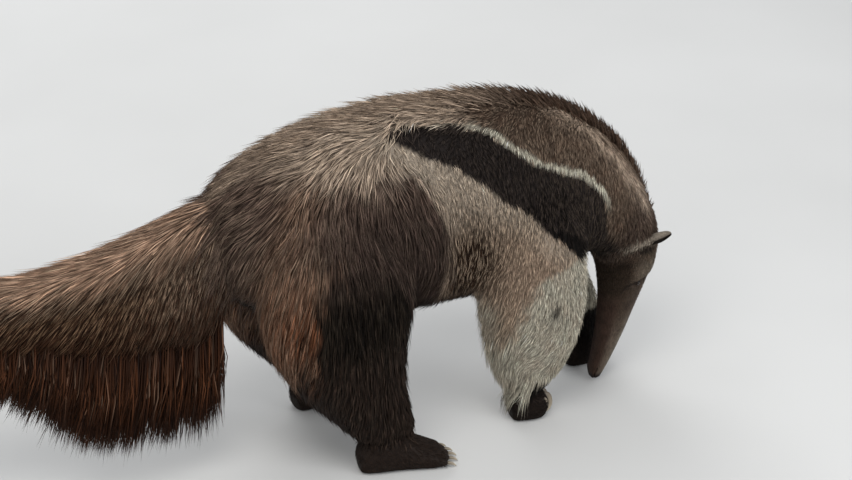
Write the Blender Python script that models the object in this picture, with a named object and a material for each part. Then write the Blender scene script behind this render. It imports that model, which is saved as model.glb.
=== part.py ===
"""A giant anteater, life size, standing with its head down and its snout at the ground.

Metres, +Z up. The animal faces +X, and its right side is -Y. While it is modelled, the
origin is on the floor in the middle plane, level with the right forefoot. At the end
everything is moved so that the origin is the middle of the floor under the whole animal.
"""

import math
import random
from collections import namedtuple

import bmesh
import bpy
import numpy as np
from mathutils import Matrix, Vector
from mathutils.bvhtree import BVHTree

GAP = 0.0003
SEED = 11
DOWN = Vector((0.0, 0.0, -1.0))
BACK = Vector((-1.0, 0.0, 0.0))

# A body ring: the point over (or in front), the point under (or behind), the middle's y,
# and half the width across.
Ring = namedtuple("Ring", "over_x over_z under_x under_z y half")

# Rump to snout, without the long coat
TRUNK = [
    Ring(-0.655, 0.500, -0.650, 0.450, 0.0, 0.020),
    Ring(-0.625, 0.580, -0.610, 0.375, 0.0, 0.085),
    Ring(-0.540, 0.640, -0.525, 0.320, 0.0, 0.125),
    Ring(-0.420, 0.678, -0.410, 0.295, 0.0, 0.142),
    Ring(-0.290, 0.692, -0.285, 0.285, 0.0, 0.150),
    Ring(-0.160, 0.690, -0.160, 0.280, 0.0, 0.148),
    Ring(-0.050, 0.675, -0.040, 0.285, 0.0, 0.138),
    Ring(0.045, 0.645, 0.045, 0.300, 0.0, 0.126),
    Ring(0.127, 0.600, 0.092, 0.312, 0.0, 0.113),
    Ring(0.196, 0.535, 0.122, 0.318, 0.0, 0.100),
    Ring(0.248, 0.458, 0.145, 0.314, 0.0, 0.090),
    Ring(0.280, 0.385, 0.163, 0.300, 0.0, 0.080),
    Ring(0.297, 0.325, 0.175, 0.276, 0.0, 0.070),
    Ring(0.292, 0.275, 0.182, 0.244, 0.0, 0.060),
    Ring(0.278, 0.223, 0.184, 0.200, 0.0, 0.048),
    Ring(0.260, 0.171, 0.181, 0.153, 0.0, 0.038),
    Ring(0.240, 0.119, 0.176, 0.105, 0.0, 0.031),
    Ring(0.218, 0.071, 0.169, 0.061, 0.0, 0.026),
    Ring(0.200, 0.035, 0.162, 0.029, 0.0, 0.021),
    Ring(0.187, 0.012, 0.165, 0.010, 0.0, 0.014),
]
TORSO_END = 7.6
NECK_END = 10.95
SNOUT_END = 19.0

# The tail with its hair; the core takes a share of the depth and of the width.
TAIL = [
    Ring(-0.560, 0.575, -0.580, 0.460, 0.0, 0.060),
    Ring(-0.660, 0.570, -0.650, 0.110, 0.0, 0.085),
    Ring(-0.760, 0.535, -0.750, 0.092, 0.0, 0.092),
    Ring(-0.880, 0.500, -0.875, 0.112, 0.0, 0.088),
    Ring(-1.000, 0.483, -1.000, 0.205, 0.0, 0.078),
    Ring(-1.120, 0.479, -1.120, 0.258, 0.0, 0.066),
    Ring(-1.240, 0.464, -1.235, 0.280, 0.0, 0.050),
    Ring(-1.350, 0.430, -1.345, 0.295, 0.0, 0.032),
    Ring(-1.420, 0.370, -1.415, 0.320, 0.0, 0.014),
]
TAIL_CORE_DEPTH = 0.52
TAIL_CORE_WIDTH = 0.66
TAIL_BASE_END = 3.1
TAIL_MIDDLE_END = 5.1
TAIL_CORE_END = 7.5

FORELEG_RIGHT = [
    Ring(0.055, 0.560, -0.075, 0.570, -0.060, 0.030),
    Ring(0.088, 0.470, -0.120, 0.470, -0.084, 0.056),
    Ring(0.092, 0.380, -0.138, 0.380, -0.097, 0.066),
    Ring(0.094, 0.300, -0.128, 0.300, -0.100, 0.066),
    Ring(0.091, 0.230, -0.115, 0.230, -0.098, 0.060),
    Ring(0.081, 0.165, -0.102, 0.165, -0.092, 0.052),
    Ring(0.062, 0.115, -0.084, 0.120, -0.084, 0.044),
    Ring(0.034, 0.078, -0.062, 0.084, -0.077, 0.037),
    Ring(0.014, 0.056, -0.048, 0.062, -0.073, 0.031),
]
FORELEG_LEFT = [
    Ring(0.060, 0.560, -0.070, 0.560, 0.060, 0.030),
    Ring(0.114, 0.480, -0.101, 0.460, 0.084, 0.056),
    Ring(0.142, 0.390, -0.091, 0.350, 0.098, 0.065),
    Ring(0.166, 0.310, -0.047, 0.260, 0.102, 0.062),
    Ring(0.188, 0.240, 0.006, 0.190, 0.102, 0.055),
    Ring(0.212, 0.178, 0.068, 0.138, 0.098, 0.048),
    Ring(0.228, 0.126, 0.116, 0.100, 0.093, 0.041),
    Ring(0.228, 0.086, 0.142, 0.076, 0.089, 0.036),
    Ring(0.220, 0.060, 0.158, 0.060, 0.087, 0.031),
]
HINDLEG = [
    Ring(-0.370, 0.590, -0.500, 0.600, -0.062, 0.040),
    Ring(-0.305, 0.500, -0.555, 0.520, -0.086, 0.068),
    Ring(-0.285, 0.420, -0.580, 0.430, -0.104, 0.080),
    Ring(-0.290, 0.340, -0.582, 0.345, -0.116, 0.082),
    Ring(-0.302, 0.265, -0.560, 0.265, -0.124, 0.074),
    Ring(-0.308, 0.200, -0.512, 0.195, -0.130, 0.062),
    Ring(-0.302, 0.145, -0.465, 0.140, -0.135, 0.052),
    Ring(-0.292, 0.102, -0.428, 0.098, -0.139, 0.045),
    Ring(-0.285, 0.072, -0.404, 0.070, -0.142, 0.038),
]
HINDLEG_LEFT_BACK = 0.025

# Feet from the heel forward, for a foot whose wrist or ankle is at the origin
FOREFOOT = [
    Ring(-0.040, 0.034, -0.040, 0.012, 0.0, 0.018),
    Ring(-0.035, 0.058, -0.035, -0.004, 0.0, 0.030),
    Ring(-0.018, 0.072, -0.018, -0.008, 0.0, 0.036),
    Ring(0.004, 0.068, 0.004, -0.008, 0.0, 0.038),
    Ring(0.022, 0.058, 0.022, -0.004, 0.0, 0.034),
    Ring(0.034, 0.046, 0.034, 0.012, 0.0, 0.024),
]
HINDFOOT = [
    Ring(-0.066, 0.034, -0.066, 0.010, 0.0, 0.016),
    Ring(-0.058, 0.066, -0.058, -0.004, 0.0, 0.030),
    Ring(-0.028, 0.086, -0.028, -0.008, 0.0, 0.037),
    Ring(0.012, 0.084, 0.012, -0.008, 0.0, 0.038),
    Ring(0.052, 0.058, 0.052, -0.008, 0.0, 0.040),
    Ring(0.084, 0.040, 0.084, -0.008, 0.0, 0.041),
    Ring(0.100, 0.028, 0.100, 0.002, 0.0, 0.036),
]
# Each foot: name, middle of the wrist or ankle, and its turn outward in degrees
FOREFEET = [("right", -0.010, -0.073, -4.0), ("left", 0.186, 0.087, 6.0)]
HINDFEET = [("right", -0.340, -0.145, -9.0), ("left", -0.365, 0.145, 9.0)]
HIND_TOES = 5
TOE_LENGTH = 0.026
TOE_RADIUS = 0.0095
HIND_CLAW_LENGTH = 0.024
HIND_CLAW_RADII = (0.0038, 0.0036, 0.0023, 0.0006)
# Fore claws from the inner to the outer: side offset, length, thickness
FORE_CLAWS = [
    (0.025, 0.034, 0.0042),
    (0.009, 0.050, 0.0066),
    (-0.009, 0.056, 0.0074),
    (-0.025, 0.030, 0.0038),
]
# A fore claw's bend, in claw lengths ahead of and over its root
FORE_CLAW_CURVE = [(-0.12, 0.0), (0.16, -0.04), (0.27, -0.32), (0.22, -0.58), (0.05, -0.76)]
FORE_CLAW_TAPER = (1.0, 0.95, 0.8, 0.55, 0.12)
FORE_CLAW_FLAT = 0.72
FORE_CLAW_ROOT = 0.044
FIST_FRONT = 0.029
FIST_ROUND = 12.0
CLAW_LOWEST = 0.0015

# Places on the head: t along the trunk, and degrees up from the side's widest line
EYE_RADIUS = 0.0078
EYE_PLACE = 13.65
EYE_ANGLE = 12.0
EYE_SINK = 0.0042
LID_RADIUS = 0.0024
BROW = [(12.1, 0.006), (12.6, 0.0135), (13.1, 0.0155), (13.5, 0.0085)]
BROW_ANGLE = 28.0
BROW_SINK = 0.0110
NOSTRIL_PLACE = 18.75
NOSTRIL_ANGLE = 48.0
MOUTH = [(19.0, -38, 0.0014), (18.6, -36, 0.0018), (18.2, -33, 0.0017), (17.85, -30, 0.0008)]
LIP = [(18.9, -62, 0.0022), (18.6, -58, 0.0034), (18.2, -54, 0.0030), (17.9, -50, 0.0014)]
LIP_SINK = 0.0014
EAR_PLACE = 11.62
EAR_ANGLE = 27.0
EAR_LENGTH = 0.046
EAR_WIDTH = 0.0150
EAR_WALL = 0.0030
EAR_WAY = (0.80, 0.42, 0.46)
EAR_OPENING = (0.35, 0.30, -0.90)
# The ear's radius from its root to its tip, and the angles round its cup
EAR_STEPS = (-0.16, 0.12, 0.42, 0.70, 0.90, 1.0)
EAR_RADII = (0.62, 0.86, 1.00, 0.86, 0.55, 0.24)
EAR_ARC = (-118, -72, -26, 26, 72, 118)

# Hair: length, width (or its share of the body's half width), thickness, and rise per length
Hair = namedtuple("Hair", "length width thick rise")
BACK_HAIR = Hair(0.140, 0.38, 0.0080, 0.095)
BACK_ROWS = (0.85, 1.65, 2.45, 3.25, 4.1)
BACK_LOCKS = 5
BACK_TOP = 82.0
BACK_SPREAD = 106.0
BELLY_MORE = 0.040
THIGH_HAIR = Hair(0.115, 0.056, 0.0070, 0.090)
THIGH_ROWS = (2.0, 2.8, 3.7, 4.6, 5.5)
THIGH_ANGLES = (122, 164, 206, 248)
THIGH_TAPER = 0.095
FRINGE_HAIR = Hair(0.064, 0.034, 0.0060, 0.120)
FRINGE_ROWS = (3.3, 3.9, 4.5, 5.1, 5.7, 6.3)
FRINGE_TAPER = 0.060
FRINGE_SPREAD = 16.0
TAIL_HAIR = Hair(0.140, 0.62, 0.0070, 0.110)
TAIL_ROWS = (1.3, 2.2, 3.1, 4.0, 4.9, 5.8, 6.7)
TAIL_ANGLES = (78, 38)
CURTAIN_ROWS = np.arange(0.95, 7.45, 0.48)
CURTAIN_WIDTH = 0.054
CURTAIN_THICK = 0.0080
CURTAIN_ONE_LAYER = 5.5
CURTAIN_LIFT = 0.007
CREST_NECK = Hair(0.050, 0.040, 0.0080, 0.70)
CREST_BACK = Hair(0.058, 0.040, 0.0080, 0.42)
CREST_START = 11.3
CREST_GROWS_OVER = 4.0
CREST_END = 1.2
CREST_SPACING = 0.030
CREST_SPREAD = 5.0
# A lock's shape: its steps from root to tip, and its width and thickness there
LOCK_STEPS = (0.0, 0.34, 0.70, 1.0)
LOCK_WIDTHS = (0.80, 1.00, 0.72, 0.0)
LOCK_THICKNESSES = (1.0, 0.85, 0.60, 0.0)
LOCK_SINK = 0.007
LOCK_CLEARANCE = 0.4

COLOURS = {
    "torso": (0.085, 0.062, 0.045),
    "neck": (0.050, 0.036, 0.027),
    "head": (0.048, 0.036, 0.029),
    "tail": (0.058, 0.038, 0.026),
    "foreleg": (0.330, 0.290, 0.220),
    "hindleg": (0.040, 0.026, 0.019),
    "foot": (0.022, 0.017, 0.014),
    "ear": (0.075, 0.060, 0.050),
    "claw": (0.300, 0.250, 0.180),
    "eye": (0.008, 0.006, 0.005),
}
ROUGH = {"eye": 0.08, "claw": 0.40}


# Curves and surfaces


def smooth(values, t):
    """The values at places t along their list, on a Catmull-Rom curve."""
    values = np.asarray(values, float)
    t = np.clip(np.asarray(t, float), 0, len(values) - 1)
    i = np.minimum(t.astype(int), len(values) - 2)
    f = (t - i)[:, None]
    before = values[np.maximum(i - 1, 0)]
    here = values[i]
    after = values[i + 1]
    beyond = values[np.minimum(i + 2, len(values) - 1)]
    return 0.5 * (
        2 * here
        + (after - before) * f
        + (2 * before - 5 * here + 4 * after - beyond) * f**2
        + (3 * here - before - 3 * after + beyond) * f**3
    )


class Form:
    """The surface through a list of rings, in places t along it and angles round it."""

    def __init__(self, rings, widest=0.47, power=2.15):
        self.rings = np.array(rings, float)
        self.widest = widest
        self.power = power

    def at(self, t, angle, grow=0.0):
        """Points of the surface; 90 degrees is over or in front, 180 is the right side."""
        t, angle = np.broadcast_arrays(np.asarray(t, float), np.asarray(angle, float))
        over_x, over_z, under_x, under_z, y, half = smooth(self.rings, t.ravel()).T
        long = np.hypot(over_x - under_x, over_z - under_z)
        up_x, up_z = (over_x - under_x) / long, (over_z - under_z) / long
        mid_x = under_x + self.widest * (over_x - under_x)
        mid_z = under_z + self.widest * (over_z - under_z)
        across, along = np.cos(angle.ravel()), np.sin(angle.ravel())
        across = np.sign(across) * np.abs(across) ** (2 / self.power)
        along = np.sign(along) * np.abs(along) ** (2 / self.power)
        share = np.where(along > 0, 1 - self.widest, self.widest)
        reach = (long * share + grow) * along
        points = np.stack(
            [mid_x + up_x * reach, y + (half + grow) * across, mid_z + up_z * reach], 1
        )
        return points.reshape(*t.shape, 3)

    def place(self, t, degrees):
        """A point of the surface, its outward normal, and the way along towards higher t."""
        step = 0.02
        angle = math.radians(degrees)
        t = min(max(t, step), len(self.rings) - 1 - step)
        point = Vector(self.at(t, angle))
        along = Vector(self.at(t + step, angle) - self.at(t - step, angle)).normalized()
        round_it = Vector(self.at(t, angle + step) - self.at(t, angle - step)).normalized()
        normal = along.cross(round_it).normalized()
        middle = Vector(self.at([t, t], [angle, angle + math.pi]).mean(0))
        if normal.dot(point - middle) < 0:
            normal = -normal
        return point, normal, along


def core_of_tail():
    """The tail's rings without the hair that hangs below it."""
    rings = []
    for ring in TAIL:
        under_x = ring.over_x + TAIL_CORE_DEPTH * (ring.under_x - ring.over_x)
        under_z = ring.over_z + TAIL_CORE_DEPTH * (ring.under_z - ring.over_z)
        half = TAIL_CORE_WIDTH * ring.half
        rings.append(ring._replace(under_x=under_x, under_z=under_z, half=half))
    return rings


def left_hindleg():
    """The left hind leg: the right one's mirror image, a little further back."""
    back = HINDLEG_LEFT_BACK
    return [r._replace(over_x=r.over_x - back, under_x=r.under_x - back, y=-r.y) for r in HINDLEG]


# Closed meshes


def lofted(rows):
    """A closed mesh through rows of points, each row a loop, with flat ends."""
    bm = bmesh.new()
    loops = [[bm.verts.new(point) for point in row] for row in rows]
    for low, high in zip(loops, loops[1:]):
        for k, corner in enumerate(low):
            after = (k + 1) % len(low)
            bm.faces.new((corner, low[after], high[after], high[k]))
    bm.faces.new(loops[0][::-1])
    bm.faces.new(loops[-1])
    return facing_out(bm)


def facing_out(bm):
    """The mesh with its faces pointing outward, in triangles."""
    bmesh.ops.triangulate(bm, faces=bm.faces)
    bmesh.ops.recalc_face_normals(bm, faces=bm.faces)
    if bm.calc_volume(signed=True) < 0:
        bmesh.ops.reverse_faces(bm, faces=bm.faces)
    return bm


def tube(form, start, end, rings, sides, trim=(0.0, 0.0)):
    """A piece of a form from start to end; trim draws its two ends in or out."""

    def make(grow):
        t = np.linspace(start, end, rings)[:, None]
        angle = np.linspace(0, 2 * math.pi, sides, endpoint=False)[None, :]
        rows = form.at(t, angle, grow)
        middles = rows.mean(1)
        first = middles[1] - middles[0]
        last = middles[-1] - middles[-2]
        rows[0] += (trim[0] - grow) * first / np.linalg.norm(first)
        rows[-1] -= (trim[1] - grow) * last / np.linalg.norm(last)
        return lofted(rows)

    return make


def turned_foot(form, rings, sides, place, degrees):
    """A foot on the floor: a form turned about its ankle, with a flat sole."""

    def make(grow):
        t = np.linspace(0, len(form.rings) - 1, rings)[:, None]
        angle = np.linspace(0, 2 * math.pi, sides, endpoint=False)[None, :]
        rows = form.at(t, angle, grow)
        rows[..., 2] = np.maximum(rows[..., 2], -grow)
        return lofted(set_down(rows, place, degrees))

    return make


def set_down(points, place, degrees):
    """Foot points turned outward about the ankle and set at its place on the floor."""
    c, s = math.cos(math.radians(degrees)), math.sin(math.radians(degrees))
    turn = np.array([[c, -s, 0.0], [s, c, 0.0], [0.0, 0.0, 1.0]])
    return np.asarray(points) @ turn.T + np.array([place[0], place[1], 0.0])


def bent_rod(path, radii, sides, flat=1.0, lowest=None):
    """A tapering closed rod along a path; flat squeezes it sideways."""
    path = [Vector(p) for p in path]

    def make(grow):
        rows = []
        for k, centre in enumerate(path):
            way = (path[min(k + 1, len(path) - 1)] - path[max(k - 1, 0)]).normalized()
            side = way.cross(Vector((0.0, 1.0, 0.0)))
            side = side.normalized() if side.length > 0.1 else Vector((1.0, 0.0, 0.0))
            over = way.cross(side)
            centre = centre - way * grow if k == 0 else centre
            centre = centre + way * grow if k == len(path) - 1 else centre
            row = []
            for j in range(sides):
                angle = 2 * math.pi * j / sides
                radius = radii[k] + grow
                point = centre + side * radius * math.cos(angle)
                point = point + over * radius * flat * math.sin(angle)
                if lowest is not None:
                    point.z = max(point.z, lowest - grow)
                row.append(point)
            rows.append(row)
        return lofted(rows)

    return make


def ball(centre, radius, detail):
    def make(grow):
        bm = bmesh.new()
        bmesh.ops.create_icosphere(
            bm, subdivisions=detail, radius=radius + grow, matrix=Matrix.Translation(centre)
        )
        return bm

    return make


# The coat's locks


class Body:
    """All the bare pieces as one surface, for locks to lie on."""

    def __init__(self, meshes):
        corners = []
        faces = []
        for bm in meshes:
            bm.verts.ensure_lookup_table()
            start = len(corners)
            corners += [vert.co.copy() for vert in bm.verts]
            faces += [[start + vert.index for vert in face.verts] for face in bm.faces]
        self.tree = BVHTree.FromPolygons(corners, faces)

    def lift(self, point, least, most):
        """The point moved so that its height over the body is from least to most."""
        nearest, normal, _, _ = self.tree.find_nearest(point)
        height = (point - nearest).dot(normal)
        if height < least:
            return nearest + normal * least, normal
        if most is not None and height > most:
            return nearest + normal * most, normal
        return point, normal


class Lock:
    """A flat lock of hair: three-sided rings along a path, from a sunk root to a point.

    Called with a growth, it moves its faces outward by about that much.
    """

    def __init__(self, centres, faces, widths, thicknesses):
        self.centres = centres
        self.faces = faces
        self.widths = widths
        self.thicknesses = thicknesses

    def __call__(self, grow):
        rows = []
        last = len(self.centres) - 1
        for k in range(last):
            centre = self.centres[k]
            way = (self.centres[k + 1] - self.centres[max(k - 1, 0)]).normalized()
            side = way.cross(self.faces[k]).normalized()
            over = side.cross(way)
            wide = self.widths[k] / 2
            thick = self.thicknesses[k] / 2
            slant = math.hypot(wide, 2 * thick)
            reach = side * (wide + grow * (slant + wide) / (2 * thick))
            low = over * -(thick + grow)
            ridge = over * (thick + grow * slant / wide)
            centre = centre - way * grow if k == 0 else centre
            rows.append([centre + reach + low, centre + ridge, centre - reach + low])
        bm = bmesh.new()
        loops = [[bm.verts.new(point) for point in row] for row in rows]
        end = self.centres[last] - self.centres[last - 1]
        sharp = 2 * end.length / self.thicknesses[last - 1]
        tip = bm.verts.new(self.centres[last] + end.normalized() * grow * math.hypot(1, sharp))
        for low, high in zip(loops, loops[1:]):
            for j in range(3):
                bm.faces.new((low[j], low[(j + 1) % 3], high[(j + 1) % 3], high[j]))
        for j in range(3):
            bm.faces.new((loops[-1][j], loops[-1][(j + 1) % 3], tip))
        bm.faces.new(loops[0][::-1])
        return facing_out(bm)


def lying_lock(body, root, normal, flow, hair):
    """A lock that follows the flow over the body, a little higher at each step."""
    centres = [root - normal * LOCK_SINK]
    faces = [normal]
    point = root
    for before, share in zip(LOCK_STEPS, LOCK_STEPS[1:]):
        way = flow(point, faces[-1])
        height = hair.thick / 2 + hair.rise * hair.length * share
        point, face = body.lift(point + way * hair.length * (share - before), height, height)
        centres.append(point)
        faces.append(face)
    widths = [hair.width * share for share in LOCK_WIDTHS]
    thicknesses = [hair.thick * share for share in LOCK_THICKNESSES]
    return Lock(centres, faces, widths, thicknesses)


def along_surface(way, normal):
    """A direction laid into the surface."""
    return (way - normal * way.dot(normal)).normalized()


class Coat:
    """The locks of every node, each refused where it would meet another node's lock."""

    def __init__(self, body):
        self.body = body
        self.locks = {}
        self.samples = {}
        self.draw = random.Random(SEED)

    def vary(self, share):
        return 1 + share * (2 * self.draw.random() - 1)

    def varied(self, hair, share):
        return hair._replace(length=hair.length * self.vary(share), width=hair.width * self.vary(share))

    def add(self, node, lock):
        radius = max(lock.widths) / 2
        middles = []
        for a, b in zip(lock.centres, lock.centres[1:]):
            middles += [a, a.lerp(b, 0.33), a.lerp(b, 0.67)]
        middles.append(lock.centres[-1])
        samples = np.array([(*point, radius) for point in middles])
        for other, theirs in self.samples.items():
            if other != node:
                far = np.linalg.norm(samples[:, None, :3] - theirs[None, :, :3], axis=2)
                if (far < LOCK_CLEARANCE * (radius + theirs[None, :, 3])).any():
                    return
        self.locks.setdefault(node, []).append(lock)
        known = self.samples.get(node)
        self.samples[node] = samples if known is None else np.concatenate([known, samples])


def trunk_flow(point, normal):
    """Hair on the trunk lies back, and down more and more towards the belly."""
    return along_surface(BACK + DOWN * (0.10 + 0.95 * (1 - normal.z)), normal)


def leg_flow(point, normal):
    return along_surface(BACK * 0.45 + DOWN, normal)


def tail_flow(point, normal):
    """Hair on the tail lies back on top and hangs down at the sides."""
    return along_surface(BACK + DOWN * (0.05 + 1.5 * (1 - normal.z)), normal)


def both_sides(degrees):
    """An angle round a form on the left side and its mirror image on the right."""
    return degrees, 180 - degrees


def node_at(t, ends):
    """The node that place t lies in, from the places where the nodes end."""
    return next(name for name, end in ends if t < end)


def half_width(form, t):
    return smooth(form.rings, [t])[0][5]


def coat_trunk(coat, trunk):
    """The long hair of the rump, back and flanks, in rows like shingles."""
    for number, t in enumerate(BACK_ROWS):
        for k in range(BACK_LOCKS):
            share = (k + 0.5 * (number % 2) + 0.35) / BACK_LOCKS
            for degrees in both_sides(BACK_TOP - BACK_SPREAD * share):
                root, normal, _ = trunk.place(t + 0.06 * (coat.vary(1) - 1), degrees)
                length = BACK_HAIR.length + BELLY_MORE * share**2
                width = BACK_HAIR.width * half_width(trunk, t)
                hair = coat.varied(BACK_HAIR._replace(length=length, width=width), 0.07)
                coat.add("torso", lying_lock(coat.body, root, normal, trunk_flow, hair))


def crest_lock(root, normal, along, hair, side):
    """An upright lock of the crest, which leans towards the tail and bends back."""
    rise = (-along + normal * hair.rise).normalized() * hair.length
    bend = (-along + normal * hair.rise * 0.35).normalized() * hair.length
    centres = [
        root - normal * 0.012,
        root + rise * 0.40,
        root + rise * 0.55 + bend * 0.25,
        root + rise * 0.55 + bend * 0.60,
    ]
    outward = Vector((0.0, -side * 0.002, 0.0))
    centres = [centre + outward * k for k, centre in enumerate(centres)]
    widths = [hair.width * share for share in (1.0, 0.9, 0.6, 0.0)]
    thicknesses = [hair.thick * share for share in (1.0, 0.9, 0.6, 0.0)]
    return Lock(centres, [Vector((0.0, 1.0, 0.0))] * 4, widths, thicknesses)


def coat_crest(coat, trunk):
    """The mane: upright flat locks along the neck and back, on either side in turn."""
    ends = [("torso", TORSO_END), ("neck", NECK_END), ("head", SNOUT_END)]
    t = CREST_START
    side = 1
    while t > CREST_END:
        node = node_at(t, ends)
        root, normal, along = trunk.place(t, 90 + side * CREST_SPREAD)
        hair = coat.varied(CREST_BACK if node == "torso" else CREST_NECK, 0.12)
        grown = min(1.0, 0.45 + (CREST_START - t) / CREST_GROWS_OVER)
        hair = hair._replace(length=hair.length * grown)
        coat.add(node, crest_lock(root, normal, along, hair, side))
        here, _, _ = trunk.place(t, 90)
        there, _, _ = trunk.place(t - 0.2, 90)
        t -= 0.2 * CREST_SPACING / (here - there).length
        side = -side


def coat_thigh(coat, leg, node):
    """The long hair behind and outside a thigh and down its shank."""
    on_left = leg.rings[0][4] > 0
    for number, t in enumerate(THIGH_ROWS):
        for angle in THIGH_ANGLES:
            degrees = angle + 21 * (number % 2)
            root, normal, _ = leg.place(t, 180 - degrees if on_left else degrees)
            taper = 1 - THIGH_TAPER * number
            hair = THIGH_HAIR._replace(
                length=THIGH_HAIR.length * taper,
                width=THIGH_HAIR.width * taper,
            )
            lock = lying_lock(coat.body, root, normal, leg_flow, coat.varied(hair, 0.07))
            coat.add(node, lock)


def coat_foreleg(coat, leg, node):
    """The fringe down the back of a foreleg."""
    side = 1
    for number, t in enumerate(FRINGE_ROWS):
        root, normal, _ = leg.place(t, -90 + FRINGE_SPREAD * side)
        hair = FRINGE_HAIR._replace(length=FRINGE_HAIR.length * (1 - FRINGE_TAPER * number))
        lock = lying_lock(coat.body, root, normal, leg_flow, coat.varied(hair, 0.10))
        coat.add(node, lock)
        side = -side


def curtain_lock(coat, outline, root, normal, t):
    """A lock that hangs from the tail's side down to the tail's lower edge."""
    bottom = smooth(outline.rings, [t])[0][3]
    drop = max(root.z - bottom, 0.05) * coat.vary(0.07)
    out = normal * CURTAIN_LIFT
    fall = DOWN * min(drop, root.z - 0.012)
    sweep = BACK * (0.10 + 0.045 * t) * drop
    hanging = [
        root + out + fall * 0.30 + sweep * 0.2,
        root + out * 1.2 + fall * 0.68 + sweep * 0.6,
        root + out * 0.7 + fall + sweep,
    ]
    centres = [root - normal * 0.008]
    centres += [coat.body.lift(point, 0.006, None)[0] for point in hanging]
    width = CURTAIN_WIDTH * coat.vary(0.06)
    widths = [width, width, width * 0.75, 0.0]
    thicknesses = [CURTAIN_THICK * share for share in (1.0, 1.0, 0.75, 0.0)]
    return Lock(centres, [along_surface(normal, DOWN)] * 4, widths, thicknesses)


def coat_tail(coat, core, outline):
    """Locks lying along the tail's top and sides, and the curtain that hangs below."""
    ends = [("tail_base", TAIL_BASE_END), ("tail_middle", TAIL_MIDDLE_END), ("tail_tip", len(TAIL))]
    for number, t in enumerate(TAIL_ROWS):
        for angle in TAIL_ANGLES:
            for degrees in both_sides(angle - 20 * (number % 2)):
                root, normal, _ = core.place(t, degrees)
                hair = TAIL_HAIR._replace(width=TAIL_HAIR.width * half_width(outline, t))
                lock = lying_lock(coat.body, root, normal, tail_flow, coat.varied(hair, 0.07))
                coat.add(node_at(t, ends), lock)
    for row in CURTAIN_ROWS:
        layers = (-12, -58) if row < CURTAIN_ONE_LAYER else (-30,)
        for layer, angle in enumerate(layers):
            t = row + 0.24 * layer
            for degrees in both_sides(angle):
                root, normal, _ = core.place(t, degrees)
                coat.add(node_at(t, ends), curtain_lock(coat, outline, root, normal, t))


# The head's details


def on_side(trunk, t, degrees, mirror):
    """A place on the head: degrees up from the side's widest line, mirror -1 on the right."""
    return trunk.place(t, degrees if mirror > 0 else 180 - degrees)


def ear(trunk, mirror):
    """The cup of an ear: a rolled leaf whose open side looks towards the snout."""
    root, _, _ = on_side(trunk, EAR_PLACE, EAR_ANGLE, mirror)
    sideways = np.array([1.0, mirror, 1.0])
    way = Vector(EAR_WAY * sideways).normalized()
    opening = along_surface(Vector(EAR_OPENING * sideways), way)
    side = way.cross(opening)

    def make(grow):
        rows = []
        for step, radius in zip(EAR_STEPS, EAR_RADII):
            longer = grow / EAR_LENGTH * ((step == EAR_STEPS[-1]) - (step == EAR_STEPS[0]))
            centre = root + way * EAR_LENGTH * (step + longer)
            outer = EAR_WIDTH * radius + grow
            inner = max(EAR_WIDTH * radius - EAR_WALL - grow, 0.0012)
            turns = [math.radians(degrees) for degrees in EAR_ARC]
            round_it = [side * math.sin(a) - opening * math.cos(a) for a in turns]
            back = [centre + out * outer for out in round_it]
            front = [centre + out * inner for out in reversed(round_it)]
            rows.append(back + front)
        return lofted(rows)

    return make


def eye_centre(trunk, mirror):
    root, normal, along = on_side(trunk, EYE_PLACE, EYE_ANGLE, mirror)
    return root - normal * EYE_SINK, normal, along


def lids(trunk, mirror):
    """The upper and the lower lid: two rolls that meet in the corners of the eye."""
    centre, normal, along = eye_centre(trunk, mirror)
    side = normal.cross(along).normalized()
    pieces = []
    for way in (1, -1):
        path = []
        radii = []
        for step in range(6):
            angle = math.pi * step / 5
            out = along * math.cos(angle) * 1.25 + side * math.sin(angle) * way * 0.86
            over = normal * (0.42 + 0.16 * math.sin(angle))
            path.append(centre + (out + over) * EYE_RADIUS)
            radii.append(LID_RADIUS * (0.55 + 0.45 * math.sin(angle)))
        pieces.append(bent_rod(path, radii, 4))
    return pieces


def brow(trunk, mirror):
    """The swelling over and behind the eye."""
    path = []
    for t, _ in BROW:
        point, normal, _ = on_side(trunk, t, BROW_ANGLE, mirror)
        path.append(point - normal * BROW_SINK)
    return bent_rod(path, [radius for _, radius in BROW], 6)


def nostril(trunk, mirror):
    """The hollow of a nostril, beside the tip of the snout."""
    point, normal, along = on_side(trunk, NOSTRIL_PLACE, NOSTRIL_ANGLE, mirror)
    path = [
        point - along * 0.006 + normal * 0.0022,
        point + normal * 0.0012,
        point + along * 0.005 - normal * 0.001,
    ]
    return bent_rod(path, (0.0010, 0.0021, 0.0016), 6)


def along_mouth(trunk, mirror, places, height, sides):
    """A rod along places of the snout's side, its middle a little over the surface."""
    path = []
    for t, degrees, _ in places:
        point, normal, _ = on_side(trunk, t, degrees, mirror)
        path.append(point + normal * height)
    return bent_rod(path, [radius for _, _, radius in places], sides)


def mouth_line(trunk, mirror):
    """The slit of the mouth, from the tip of the snout up its side."""
    return along_mouth(trunk, mirror, MOUTH, 0.0008, 5)


def lip(trunk, mirror):
    """The lower lip, a low roll under the slit of the mouth."""
    return along_mouth(trunk, mirror, LIP, -LIP_SINK, 6)


# Feet and claws


def toe_rows(place, degrees):
    """Where each hind toe starts and ends, from the inner to the outer."""
    toes = []
    for k in range(HIND_TOES):
        share = k / (HIND_TOES - 1) * 2 - 1
        spread = math.radians(9 * share)
        start = np.array([0.088 - 0.010 * share**2, 0.031 * share, 0.0125])
        end = start + np.array([math.cos(spread), math.sin(spread), -0.12]) * TOE_LENGTH
        toes.append(set_down([start, end], place, degrees))
    return toes


def hind_toe(start, end):
    path = [Vector(start), Vector(start).lerp(Vector(end), 0.6), Vector(end)]
    radii = (TOE_RADIUS, TOE_RADIUS, TOE_RADIUS * 0.62)
    return bent_rod(path, radii, 5, lowest=0.0)


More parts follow.
